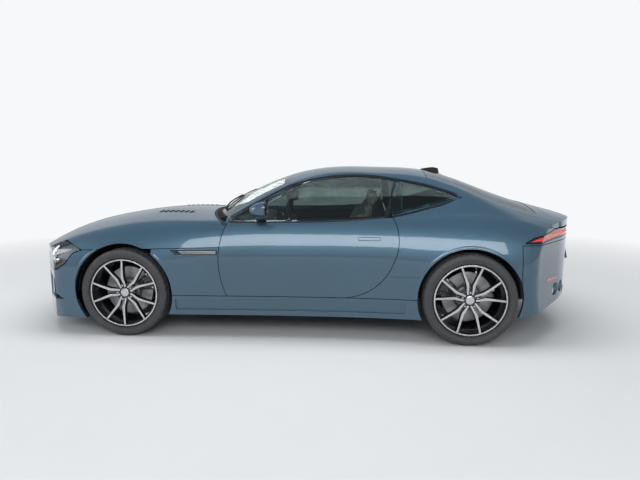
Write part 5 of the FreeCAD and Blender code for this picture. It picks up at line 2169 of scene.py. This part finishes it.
@dataclass
class Dashboard:
    """Padded dashboard with hood, vents, screen, glove box and centre console, in millimetres."""

    half: float = 664.0
    profile: tuple[Flat, ...] = ((688, 522), (688, 846), (560, 866), (432, 872), (332, 848), (290, 772),
                                 (352, 664), (428, 522))
    stack: tuple[Flat, ...] = ((150, 546), (330, 600), (380, 700), (352, 716), (300, 622), (140, 560))
    driver_y: float = -385.0

    def body(self) -> None:
        """Upholstered body whose top swells over the instruments."""
        maker = bmesh.new()
        loops = []
        outline = rounded(self.profile, 34, 4)
        for step in range(61):
            y = -self.half + 2 * self.half * step / 60
            hood = math.exp(-((y - self.driver_y) / 150) ** 4)
            edge = min(1.0, (self.half - abs(y)) / 30 + 0.75)
            loop = []
            for x, z in outline:
                swell = 26 * hood * max(0.0, 1 - abs(x - 380) / 150) if z > 760 else 0.0
                waist = -14 * math.cos(min(1.0, abs(y) / 560) * math.pi / 2) * (x < 400)
                loop.append(mm(690 - (690 - x + waist) * edge, y, 690 + (z + swell - 690) * edge))
            loops.append(loop)
        rings(maker, loops, capped=True)
        piece = shown(maker, "dashboard_body", (DARK_HIDE,), "body", 50)
        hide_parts("dashboard")

    def console(self) -> None:
        """Console with armrest, selector, trays and switches."""
        maker = bmesh.new()
        pill(maker, (-468, -111, 401), (440, 111, 545), 22)
        pill(maker, (-440, -92, 540), (-170, 92, 592), 24)
        rings(maker, [[mm(x, v, z) for v in (-104, 104)] for x, z in self.stack], closed=False)
        shown(maker, "console", (DARK_HIDE,), "body", 50)
        maker = bmesh.new()
        for y in (-84, 84):
            tube(maker, [mm(x, y, z) for x, z in ((-150, 546), (100, 552), (200, 574), (330, 622))], 5, 8)
        pill(maker, (-20, -34, 548), (60, 34, 556), 3)
        pill(maker, (6, -20, 556), (38, 20, 628), 13)
        for y in range(-60, 61, 24):
            pill(maker, (96, y - 9, 553), (124, y + 9, 562), 2)
        for y in (36, -36):
            part = bmesh.new()
            lathe(part, ((0, 38), (6, 38), (6, 33), (-2, 32), (-2, 0.01)), 40)
            merge(maker, part, posed((-100, y, 546), 90, "X"))
        shown(maker, "console_fittings", (VENT_METAL,), "body", 40)

    def vents(self) -> None:
        """Round outer vents, middle vents, display, instruments and the glove box."""
        maker = bmesh.new()
        for y in (-590, 590, -70, 70):
            part = bmesh.new()
            radius = 42 if abs(y) > 300 else 34
            lathe(part, ((0, radius), (14, radius), (16, radius - 3), (14, radius - 6), (2, radius - 7)), 48)
            for number in range(5):
                z = (number - 2) * radius * 0.34
                reach = math.sqrt(max(1.0, (radius - 7) ** 2 - z * z))
                pill(part, (-reach, 3, z - 1.5), (reach, 11, z + 1.5), 0.8, 0, 1)
            merge(maker, part, posed((302, y, 800), 90, "Z") @ Matrix.Rotation(0.3, 4, "X"))
        shown(maker, "air_vents", (VENT_METAL,), "body", 40)
        for name, half, thick, radius, place, tilt in (
                ("centre_screen", (112, 60), 9, 4, (288, 0, 718), -22),
                ("instruments", (150, 52), 10, 6, (318, self.driver_y, 846), -18)):
            maker = bmesh.new()
            pill(maker, (0, -half[0], -half[1]), (thick, *half), radius)
            shown(placed(maker, posed(place, tilt, "Y")), name, (GLOSS_BLACK,), "body", 40)
        maker = bmesh.new()
        route = ((190, 640), (190, 770), (590, 770), (590, 640))
        path = [mm(334 - (z - 640) * 0.3, y, z) for y, z in [*rounded(route, 20), route[0]]]
        tube(maker, path, 1.6, 6)
        shown(maker, "glove_box_seam", (SHADOW,), "body", 60)

    def build(self) -> None:
        """Make the dashboard."""
        self.body()
        self.console()
        self.vents()
        LOG.info("dashboard built")


@dataclass
class SteeringWheel:
    """Leather rim with three spokes, pad, paddles and column, in millimetres.

    Pad rows are z, half sizes; spoke rows are the reach, what is added to the half width, half thickness.
    """

    centre: Place = (170.0, -385.0, 800.0)
    tilt: float = -68.0
    radius: float = 166.0
    pad: tuple[tuple[float, Flat], ...] = ((-18, (52, 62)), (4, (54, 66)), (16, (48, 60)), (20, (34, 44)),
                                           (21, (4, 4)))
    spoke: tuple[Place, ...] = ((40, 8, 9), (90, 0, 7), (130, -4, 6.5), (160, 4, 8))

    def build(self) -> None:
        """Make the wheel about its own axis and place it."""
        maker = bmesh.new()
        loops = []
        for turn in (math.tau * step / 96 for step in range(97)):
            grip = 14 + 1.6 * math.exp(-((math.degrees(abs(math.remainder(turn, math.tau))) - 62) / 14) ** 2)
            flat = 1 - 0.03 * max(0.0, -math.cos(turn)) ** 6
            section = [(self.radius + grip * math.cos(a), grip * math.sin(a))
                       for a in (math.tau * k / 18 for k in range(18))]
            loops.append([mm(reach * math.cos(turn) * flat, reach * math.sin(turn), z)
                          for reach, z in section])
        rings(maker, loops)
        rings(maker, [[mm(u - 6, v, z) for u, v in oval(half, 3.0, 40)] for z, half in self.pad], capped=True)
        for degrees, wide in ((90, 24), (-90, 24), (180, 20)):
            part = bmesh.new()
            rings(part, [[mm(reach, v, z) for v, z in oval((wide + more, thick), 3.0, 20)]
                         for reach, more, thick in self.spoke], capped=True, index=1)
            merge(maker, part, posed((0, 0, 0), degrees, "Z"))
        part = bmesh.new()
        lathe(part, ((-80, 23), (-24, 23), (-18, 40), (-16, 50)), 36, 1)
        merge(maker, part, posed((0, 0, 0), 90, "X"))
        for hand in (1, -1):
            pill(maker, (20, 92 * hand - 16, -34), (92, 92 * hand + 16, -28), 3, 1)
        piece = shown(placed(maker, posed(self.centre, self.tilt, "Y")), "steering_wheel_dressed",
                      (DARK_HIDE, VENT_METAL), "steering_wheel", 50)
        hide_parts("steering_wheel")
        LOG.info("steering wheel built")


@dataclass
class Brakes:
    """Calipers over the discs, with piston caps and bridge bolts, in millimetres.

    The saddle is a section through the caliper: y, radius.
    """

    side: Side
    front: bool
    saddle: tuple[Flat, ...] = ((13.5, 114), (38, 114), (45, 124), (45, 204), (36, 225), (-50, 225),
                                (-57, 214), (-57, 116), (-24, 116), (-24, 194), (13.5, 194))
    middle: float = 170.0
    start: float = 7.0
    sweep: float = 36.0

    def turned(self, share: float, reach: float) -> Vector:
        """Point at a share of the caliper's sweep, reach millimetres from the axle."""
        hand = -1 if self.front else 1
        turn = math.radians((180 if self.front else 0) + hand * (self.start + self.sweep * share))
        return mm(math.cos(turn) * reach, 0, math.sin(turn) * reach)

    def build(self) -> None:
        """Make the caliper behind the front axle or ahead of the rear one."""
        end = "front" if self.front else "rear"
        wheel = "wheel_%s_%s" % (end, self.side.word)
        joint = next(joint for joint in FRAME["joints"] if joint["child"] == wheel)
        maker = bmesh.new()
        loops = []
        for step in range(13):
            pinch = 1 - 0.14 * (2 * abs(step / 12 - 0.5)) ** 4
            loops.append([self.turned(step / 12, self.middle + (radius - self.middle) * pinch)
                          + mm(0, y * (1 if abs(y) < 30 else pinch), 0) for y, radius in self.saddle])
        rings(maker, loops, capped=True)
        for share in (0.24, 0.5, 0.76):
            part = bmesh.new()
            lathe(part, ((40, 21), (48, 19.5), (50, 16), (50, 0.01)), 28)
            merge(maker, part, Matrix.Translation(self.turned(share, 152)))
        for share in (0.06, 0.94):
            part = bmesh.new()
            lathe(part, ((30, 9), (49, 9), (52, 7), (52, 0.01)), 6, 1)
            merge(maker, part, Matrix.Translation(self.turned(share, 208)))
        if self.side is Side.RIGHT:
            placed(maker, Matrix.Rotation(math.pi, 4, "Z") @ Matrix.Scale(-1, 4, Vector((1, 0, 0))))
        placed(maker, Matrix.Translation(Vector(joint["pos_m"])))
        shown(maker, "caliper_%s_%s" % (end, self.side.word), (CALIPER, STEEL),
              "knuckle_" + self.side.word if self.front else "body", 35)
        LOG.info("brake %s %s built", end, self.side.word)


@dataclass
class Springs:
    """Coil springs round dampers and thin bars in the arches, in millimetres.

    The bar's points run inwards from each end: how far back, y, z.
    """

    front_x: float = 1335.0
    rear_x: float = -1287.0
    coils: float = 6.5
    steps: int = 150
    bar: tuple[Place, ...] = ((90, 470, 240), (20, 470, 228), (0, 420, 222), (0, 0, 222))

    def strut(self, maker: Maker, low: Vector, high: Vector, radius: float) -> None:
        """Add a damper with its spring between two points.

        Args:
            maker: The bmesh that gets the strut.
            low: Its lower end, in millimetres.
            high: Its upper end.
            radius: Radius of the spring.
        """
        axis = high - low
        length = axis.length
        part = bmesh.new()
        tube(part, [mm(0, 0, z) for z in (0, length * 0.62)], 21, 20, 1)
        tube(part, [mm(0, 0, z) for z in (length * 0.6, length)], 9, 12, 1)
        coil = []
        for share in (step / self.steps for step in range(self.steps + 1)):
            turn = math.tau * self.coils * share
            coil.append(mm(radius * math.cos(turn), radius * math.sin(turn), length * (0.22 + 0.72 * share)))
        tube(part, coil, 5.8, 8)
        for share in (0.2, 0.95):
            tube(part, [mm(0, 0, length * share + z) for z in (-3, 3)], radius + 9, 32, 1)
        merge(maker, part, Matrix.Translation(low * MM) @ axis.to_track_quat("Z", "Y").to_matrix().to_4x4())

    def build(self) -> None:
        """Make four struts and the two anti-roll bars."""
        maker = bmesh.new()
        for hand in (1, -1):
            for foot, top, radius in (((self.front_x, 560, 250), (self.front_x, 530, 590), 40),
                                      ((self.rear_x - 110, 600, 250), (self.rear_x - 100, 575, 575), 42)):
                ends = [Vector((x, y * hand, z)) for x, y, z in (foot, top)]
                self.strut(maker, ends[0], ends[1], radius)
        for x in (self.front_x + 175, self.rear_x + 190):
            path = [mm(x - back, -y, z) for back, y, z in self.bar]
            path += [mm(x - back, y, z) for back, y, z in reversed(self.bar[:-1])]
            tube(maker, path, 11, 12, 1)
        shown(maker, "struts_and_bars", (IRON, STRUT), "body", 40)
        LOG.info("springs built")


@dataclass
class EngineBay:
    """Covers, runners, pulleys, hoses, battery, tank and radiator round the plain block, in millimetres."""

    runner: tuple[Flat, ...] = ((96, 776), (128, 800), (168, 806), (214, 798), (262, 770), (286, 730))
    pulleys: tuple[Place, ...] = ((0, 330, 88), (-150, 420, 62), (150, 430, 56), (0, 560, 48), (110, 620, 36))
    air_hose: tuple[Flat, ...] = ((1500, 600), (1460, 640), (1420, 720), (1380, 770))
    water_hose: tuple[Place, ...] = ((1955, 250, 500), (1880, 240, 520), (1700, 180, 500), (1560, 100, 480),
                                     (1470, 60, 470))
    exhaust: tuple[Place, ...] = ((900, 200, 240), (640, 92, 212), (-620, 92, 206), (-760, 150, 205),
                                  (-1000, 250, 200), (-1620, 330, 235), (-1780, 400, 352))

    def covers(self) -> None:
        """Head covers, plenum and centre cover with ribs, runners and pulleys on the block."""
        maker = bmesh.new()
        for hand in (1, -1):
            pill(maker, (760, 118 * hand, 742), (1400, 262 * hand, 792), 18)
            for x in range(800, 1333, 76):
                pill(maker, (x, 134 * hand, 790), (x + 22, 246 * hand, 797), 3)
        pill(maker, (790, -104, 744), (1380, 104, 806), 20)
        for y in range(-72, 73, 36):
            pill(maker, (820, y - 5, 802), (1350, y + 5, 810), 3)
        shown(maker, "engine_covers", (COVER,), "body", 40)
        maker = bmesh.new()
        for x in range(806, 1297, 98):
            for hand in (1, -1):
                tube(maker, [mm(x, y * hand, z) for y, z in self.runner], 15, 14)
        for y, z, radius in self.pulleys:
            part = bmesh.new()
            lathe(part, ((0, radius), (4, radius), (6, radius - 5), (18, radius - 5), (20, radius),
                         (26, radius), (26, radius * 0.3), (30, radius * 0.25), (30, 0.01)), 48)
            merge(maker, part, posed((1450, y, z), -90, "Z"))
        shown(maker, "pulleys_and_runners", (ALLOY,), "body", 40)

    def fittings(self) -> None:
        """Radiator, hoses, battery, tank, air boxes and strut brace."""
        maker = bmesh.new()
        pill(maker, (1960, -330, 255), (2000, 330, 560), 6)
        for z in (266 + number * 7.2 for number in range(40)):
            pill(maker, (1955, -322, z), (2005, 322, z + 2.4), 0.6, steps=1)
        for hand in (-1, 1):
            pill(maker, (1500, 120 * hand, 562), (1740, 300 * hand, 640), 20)
        for hand in (1, -1):
            tube(maker, [mm(x, 210 * hand, z) for x, z in self.air_hose], 34, 18)
            tube(maker, [mm(x, y * hand, z) for x, y, z in self.water_hose], 17, 14)
        shown(maker, "radiator_and_hoses", (TRIM,), "body", 40)
        maker = bmesh.new()
        brace = [mm(1120 + 40 * math.cos(y / 480 * 1.5), y, 826 - abs(y) * 0.02)
                 for y in range(-440, 441, 40)]
        tube(maker, brace, 13, 14)
        shown(maker, "strut_brace", (STRUT,), "body", 40)
        maker = bmesh.new()
        pill(maker, (740, 330, 560), (900, 470, 740), 12)
        pill(maker, (760, -470, 560), (880, -340, 720), 30)
        part = bmesh.new()
        lathe(part, ((0, 26), (16, 26), (18, 24), (18, 0.01)), 32)
        merge(maker, part, posed((820, -405, 716), 90, "X"))
        for x in (770, 870):
            pill(maker, (x - 9, 352, 738), (x + 9, 372, 752), 3)
        shown(maker, "battery_and_tank", (COVER,), "body", 40)

    def liner(self) -> None:
        """Quilted mat under the bonnet."""
        skin = Skin(["bonnet"])
        maker = bmesh.new()
        outline = ((1880, -430), (1880, 430), (1180, 560), (860, 520), (860, -520), (1180, -560))
        skin.lay(maker, rounded(outline, 60), Look.ABOVE, -22, 4, 50)
        for x in range(900, 1797, 112):
            route = [(x, y) for y in range(-420, 421, 60)]
            tube(maker, skin.line(route, Look.ABOVE, -27, 60), 3, 6)
        shown(maker, "bonnet_liner", (CARPET,), "bonnet", 50)

    def underside(self) -> None:
        """Ribs, drive shaft and exhaust pipes below the floor."""
        maker = bmesh.new()
        for hand in (1, -1):
            for y in range(190, 623, 108):
                pill(maker, (-900, y * hand, 139.5), (880, (y + 24) * hand, 147), 3)
            pill(maker, (-560, 206 * hand, 138), (-540, 640 * hand, 146), 3)
        shown(maker, "floor_ribs", (UNDERSIDE,), "body", 40)
        maker = bmesh.new()
        tube(maker, [mm(x, 0, z) for x, z in ((728, 300), (-640, 290), (-1160, 300))], 36, 24)
        for x in (700, 10, -630):
            tube(maker, [mm(x + shift, 0, 297) for shift in (-30, 30)], 48, 24)
        for hand in (1, -1):
            tube(maker, [mm(x, y * hand, z) for x, y, z in self.exhaust], 29, 20)
        shown(maker, "drive_shaft_and_pipes", (STEEL,), "body", 50)

    def build(self) -> None:
        """Dress the engine bay and the underside."""
        self.covers()
        self.fittings()
        self.liner()
        self.underside()
        LOG.info("engine bay built")


@dataclass
class Cabin:
    """Door cards, headlining, carpet, sun visors, inner mirror and rear shelf, in millimetres.

    The arch cover's section is radius, y.
    """

    card_y: float = 702.0
    rear_axle: Flat = (-1287.0, 343.0)
    arch_cover: tuple[Flat, ...] = ((397, 600), (397, 906), (401, 906), (401, 600), (397, 600))
    mirror: tuple[Flat, ...] = ((205, 40), (200, 96), (184, 112), (172, 114), (169, 108), (170, 2))

    def door_card(self, side: Side) -> None:
        """Padded card with armrest, pull, handle and speaker on the inside of a door.

        Args:
            side: Side of the car.
        """
        word, hand = side.word, side.value

        def at(x: float, z: float, off: float) -> Place:
            """Place on the card, off millimetres into the cabin."""
            return x, (self.card_y - off) * hand, z
        maker = bmesh.new()
        grid = []
        for row in range(23):
            z = 372 + row * 23
            swell = 9 + 16 * math.exp(-((z - 600) / 34) ** 2) + 6 * math.exp(-((z - 800) / 60) ** 2)
            rims = [min(1.0, min(column, 46 - column, row, 22 - row) / 2 + 0.02) for column in range(47)]
            grid.append([mm(*at(476 - column * 24, z, swell * rim)) for column, rim in enumerate(rims)])
        rings(maker, grid, closed=False)
        shown(maker, "door_card_" + word, (DARK_HIDE,), "door_" + word, 50)
        maker = bmesh.new()
        rail = sided(((484, 702), (-640, 702), (-640, 732), (484, 732)), Look.ABOVE, side)
        Skin(["door_" + word]).lay(maker, rail, Look.ABOVE, 1.6, 2.4, 24)
        shown(maker, "door_rail_" + word, (TRIM,), "door_" + word, 50)
        maker = bmesh.new()
        pill(maker, at(-300, 606, 20), at(150, 636, 46), 12)
        pill(maker, at(250, 742, 20), at(330, 766, 46), 8)
        part = bmesh.new()
        lathe(part, ((0, 82), (8, 80), (10, 72), (6, 68), (4, 0.01)), 48)
        merge(maker, part, posed(at(300, 470, 10), 0 if hand < 0 else 180, "Z"))
        shown(maker, "door_fittings_" + word, (PALE_HIDE,), "door_" + word, 50)

    def overhead(self) -> None:
        """Headlining, visors and the inner mirror."""
        maker = bmesh.new()
        outline = rounded(((40, 470), (40, -470), (-930, -470), (-930, 470)), 60)
        Skin(["roof"]).lay(maker, outline, Look.ABOVE, -44, 3, 60)
        shown(maker, "headlining", (HEADLINING,), "body", 50)
        maker = bmesh.new()
        for hand in (1, -1):
            path = [mm(96, hand * y, z) for y, z in ((120, 1182), (300, 1174), (440, 1160))]
            rings(maker, [[point + mm(u, 0, v) for u, v in oval((12, 70), 5, 24)] for point in path],
                  capped=True)
        for vert in maker.verts:
            vert.co.x -= (1.182 - vert.co.z) * -0.75
            vert.co.z -= 0.03
        shown(maker, "sun_visors", (HEADLINING,), "body", 50)
        maker = bmesh.new()
        rings(maker, [[mm(x, u, 1112 + v) for u, v in oval((half, half * 0.34), 3, 40)]
                      for x, half in self.mirror])
        tube(maker, [mm(x, 0, z) for x, z in ((200, 1118), (220, 1150), (226, 1186))], 9, 12)
        shown(maker, "inner_mirror", (TRIM,), "body", 50)

    def floor(self) -> None:
        """Carpet over floor and tunnel, foot mats and pedals."""
        maker = bmesh.new()
        for hand in (1, -1):
            pill(maker, (-700, 132 * hand, 170.5), (688, 690 * hand, 180), 4)
            pill(maker, (200, 180 * hand, 180), (660, 600 * hand, 190), 4)
        shown(maker, "carpet", (CARPET,), "body", 50)
        maker = bmesh.new()
        for y, wide in ((-300, 26), (-375, 34), (-455, 22)):
            pill(maker, (612, y - wide, 240), (622, y + wide, 330), 4)
            tube(maker, [mm(x, y, z) for x, z in ((620, 310), (650, 420), (664, 540))], 6, 8)
        shown(maker, "pedals", (STEEL,), "body", 40)

    def shelf(self) -> None:
        """Bulkhead trim behind the seats and luggage carpet."""
        maker = bmesh.new()
        pill(maker, (-758, -640, 420), (-744, 640, 860), 6)
        pill(maker, (-1960, -470, 606.5), (-800, 470, 612), 2)
        x, z = self.rear_axle
        turns = [math.pi * step / 40 for step in range(41)]
        for hand in (1, -1):
            loops = [[mm(x + radius * math.cos(turn), (y - (y > 700) * 13 * math.sin(turn)) * hand,
                         z + radius * math.sin(turn)) for turn in turns] for radius, y in self.arch_cover]
            rings(maker, loops, closed=False)
        shown(maker, "luggage_carpet", (CARPET,), "body", 50)

    def build(self) -> None:
        """Trim the cabin."""
        for side in Side:
            self.door_card(side)
        self.overhead()
        self.floor()
        self.shelf()
        LOG.info("cabin trimmed")


def main() -> None:
    """Build the coupe's looks in order."""
    logging.basicConfig(level=logging.INFO, format="%(name)s: %(message)s")
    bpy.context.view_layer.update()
    Studio().build()
    BodyPanels().build()
    body = Skin([*BodyPanels.painted, *BodyPanels.glazed, "windscreen", "headlamps", "tail_lamps",
                 "diffuser"])
    EasedPanels().build()
    BodyTrim().build(body)
    Windows().build(body)
    Grilles().build(body)
    Scuttle().build()
    Exhausts().build()
    BlankPlate().build(Skin(["rear_bumper"]))
    EngineBay().build()
    Springs().build()
    Dashboard().build()
    SteeringWheel().build()
    Cabin().build()
    for side in Side:
        Headlamp(side).build(body)
        TailLamp(side).build(body)
        Mirror(side).build()
        Seat(side).build()
        for end, phase in (("front_", 0.0), ("rear_", 91.0)):
            Wheel("wheel_" + end + side.word, "wheel_" + end + side.word, "tyre_" + end + side.word, side,
                  phase).build()
            Brakes(side, end == "front_").build()
    bpy.context.view_layer.update()


if __name__ == "__main__":
    for leftover in list(bpy.data.objects):
        bpy.data.objects.remove(leftover)
    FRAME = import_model()
    main()
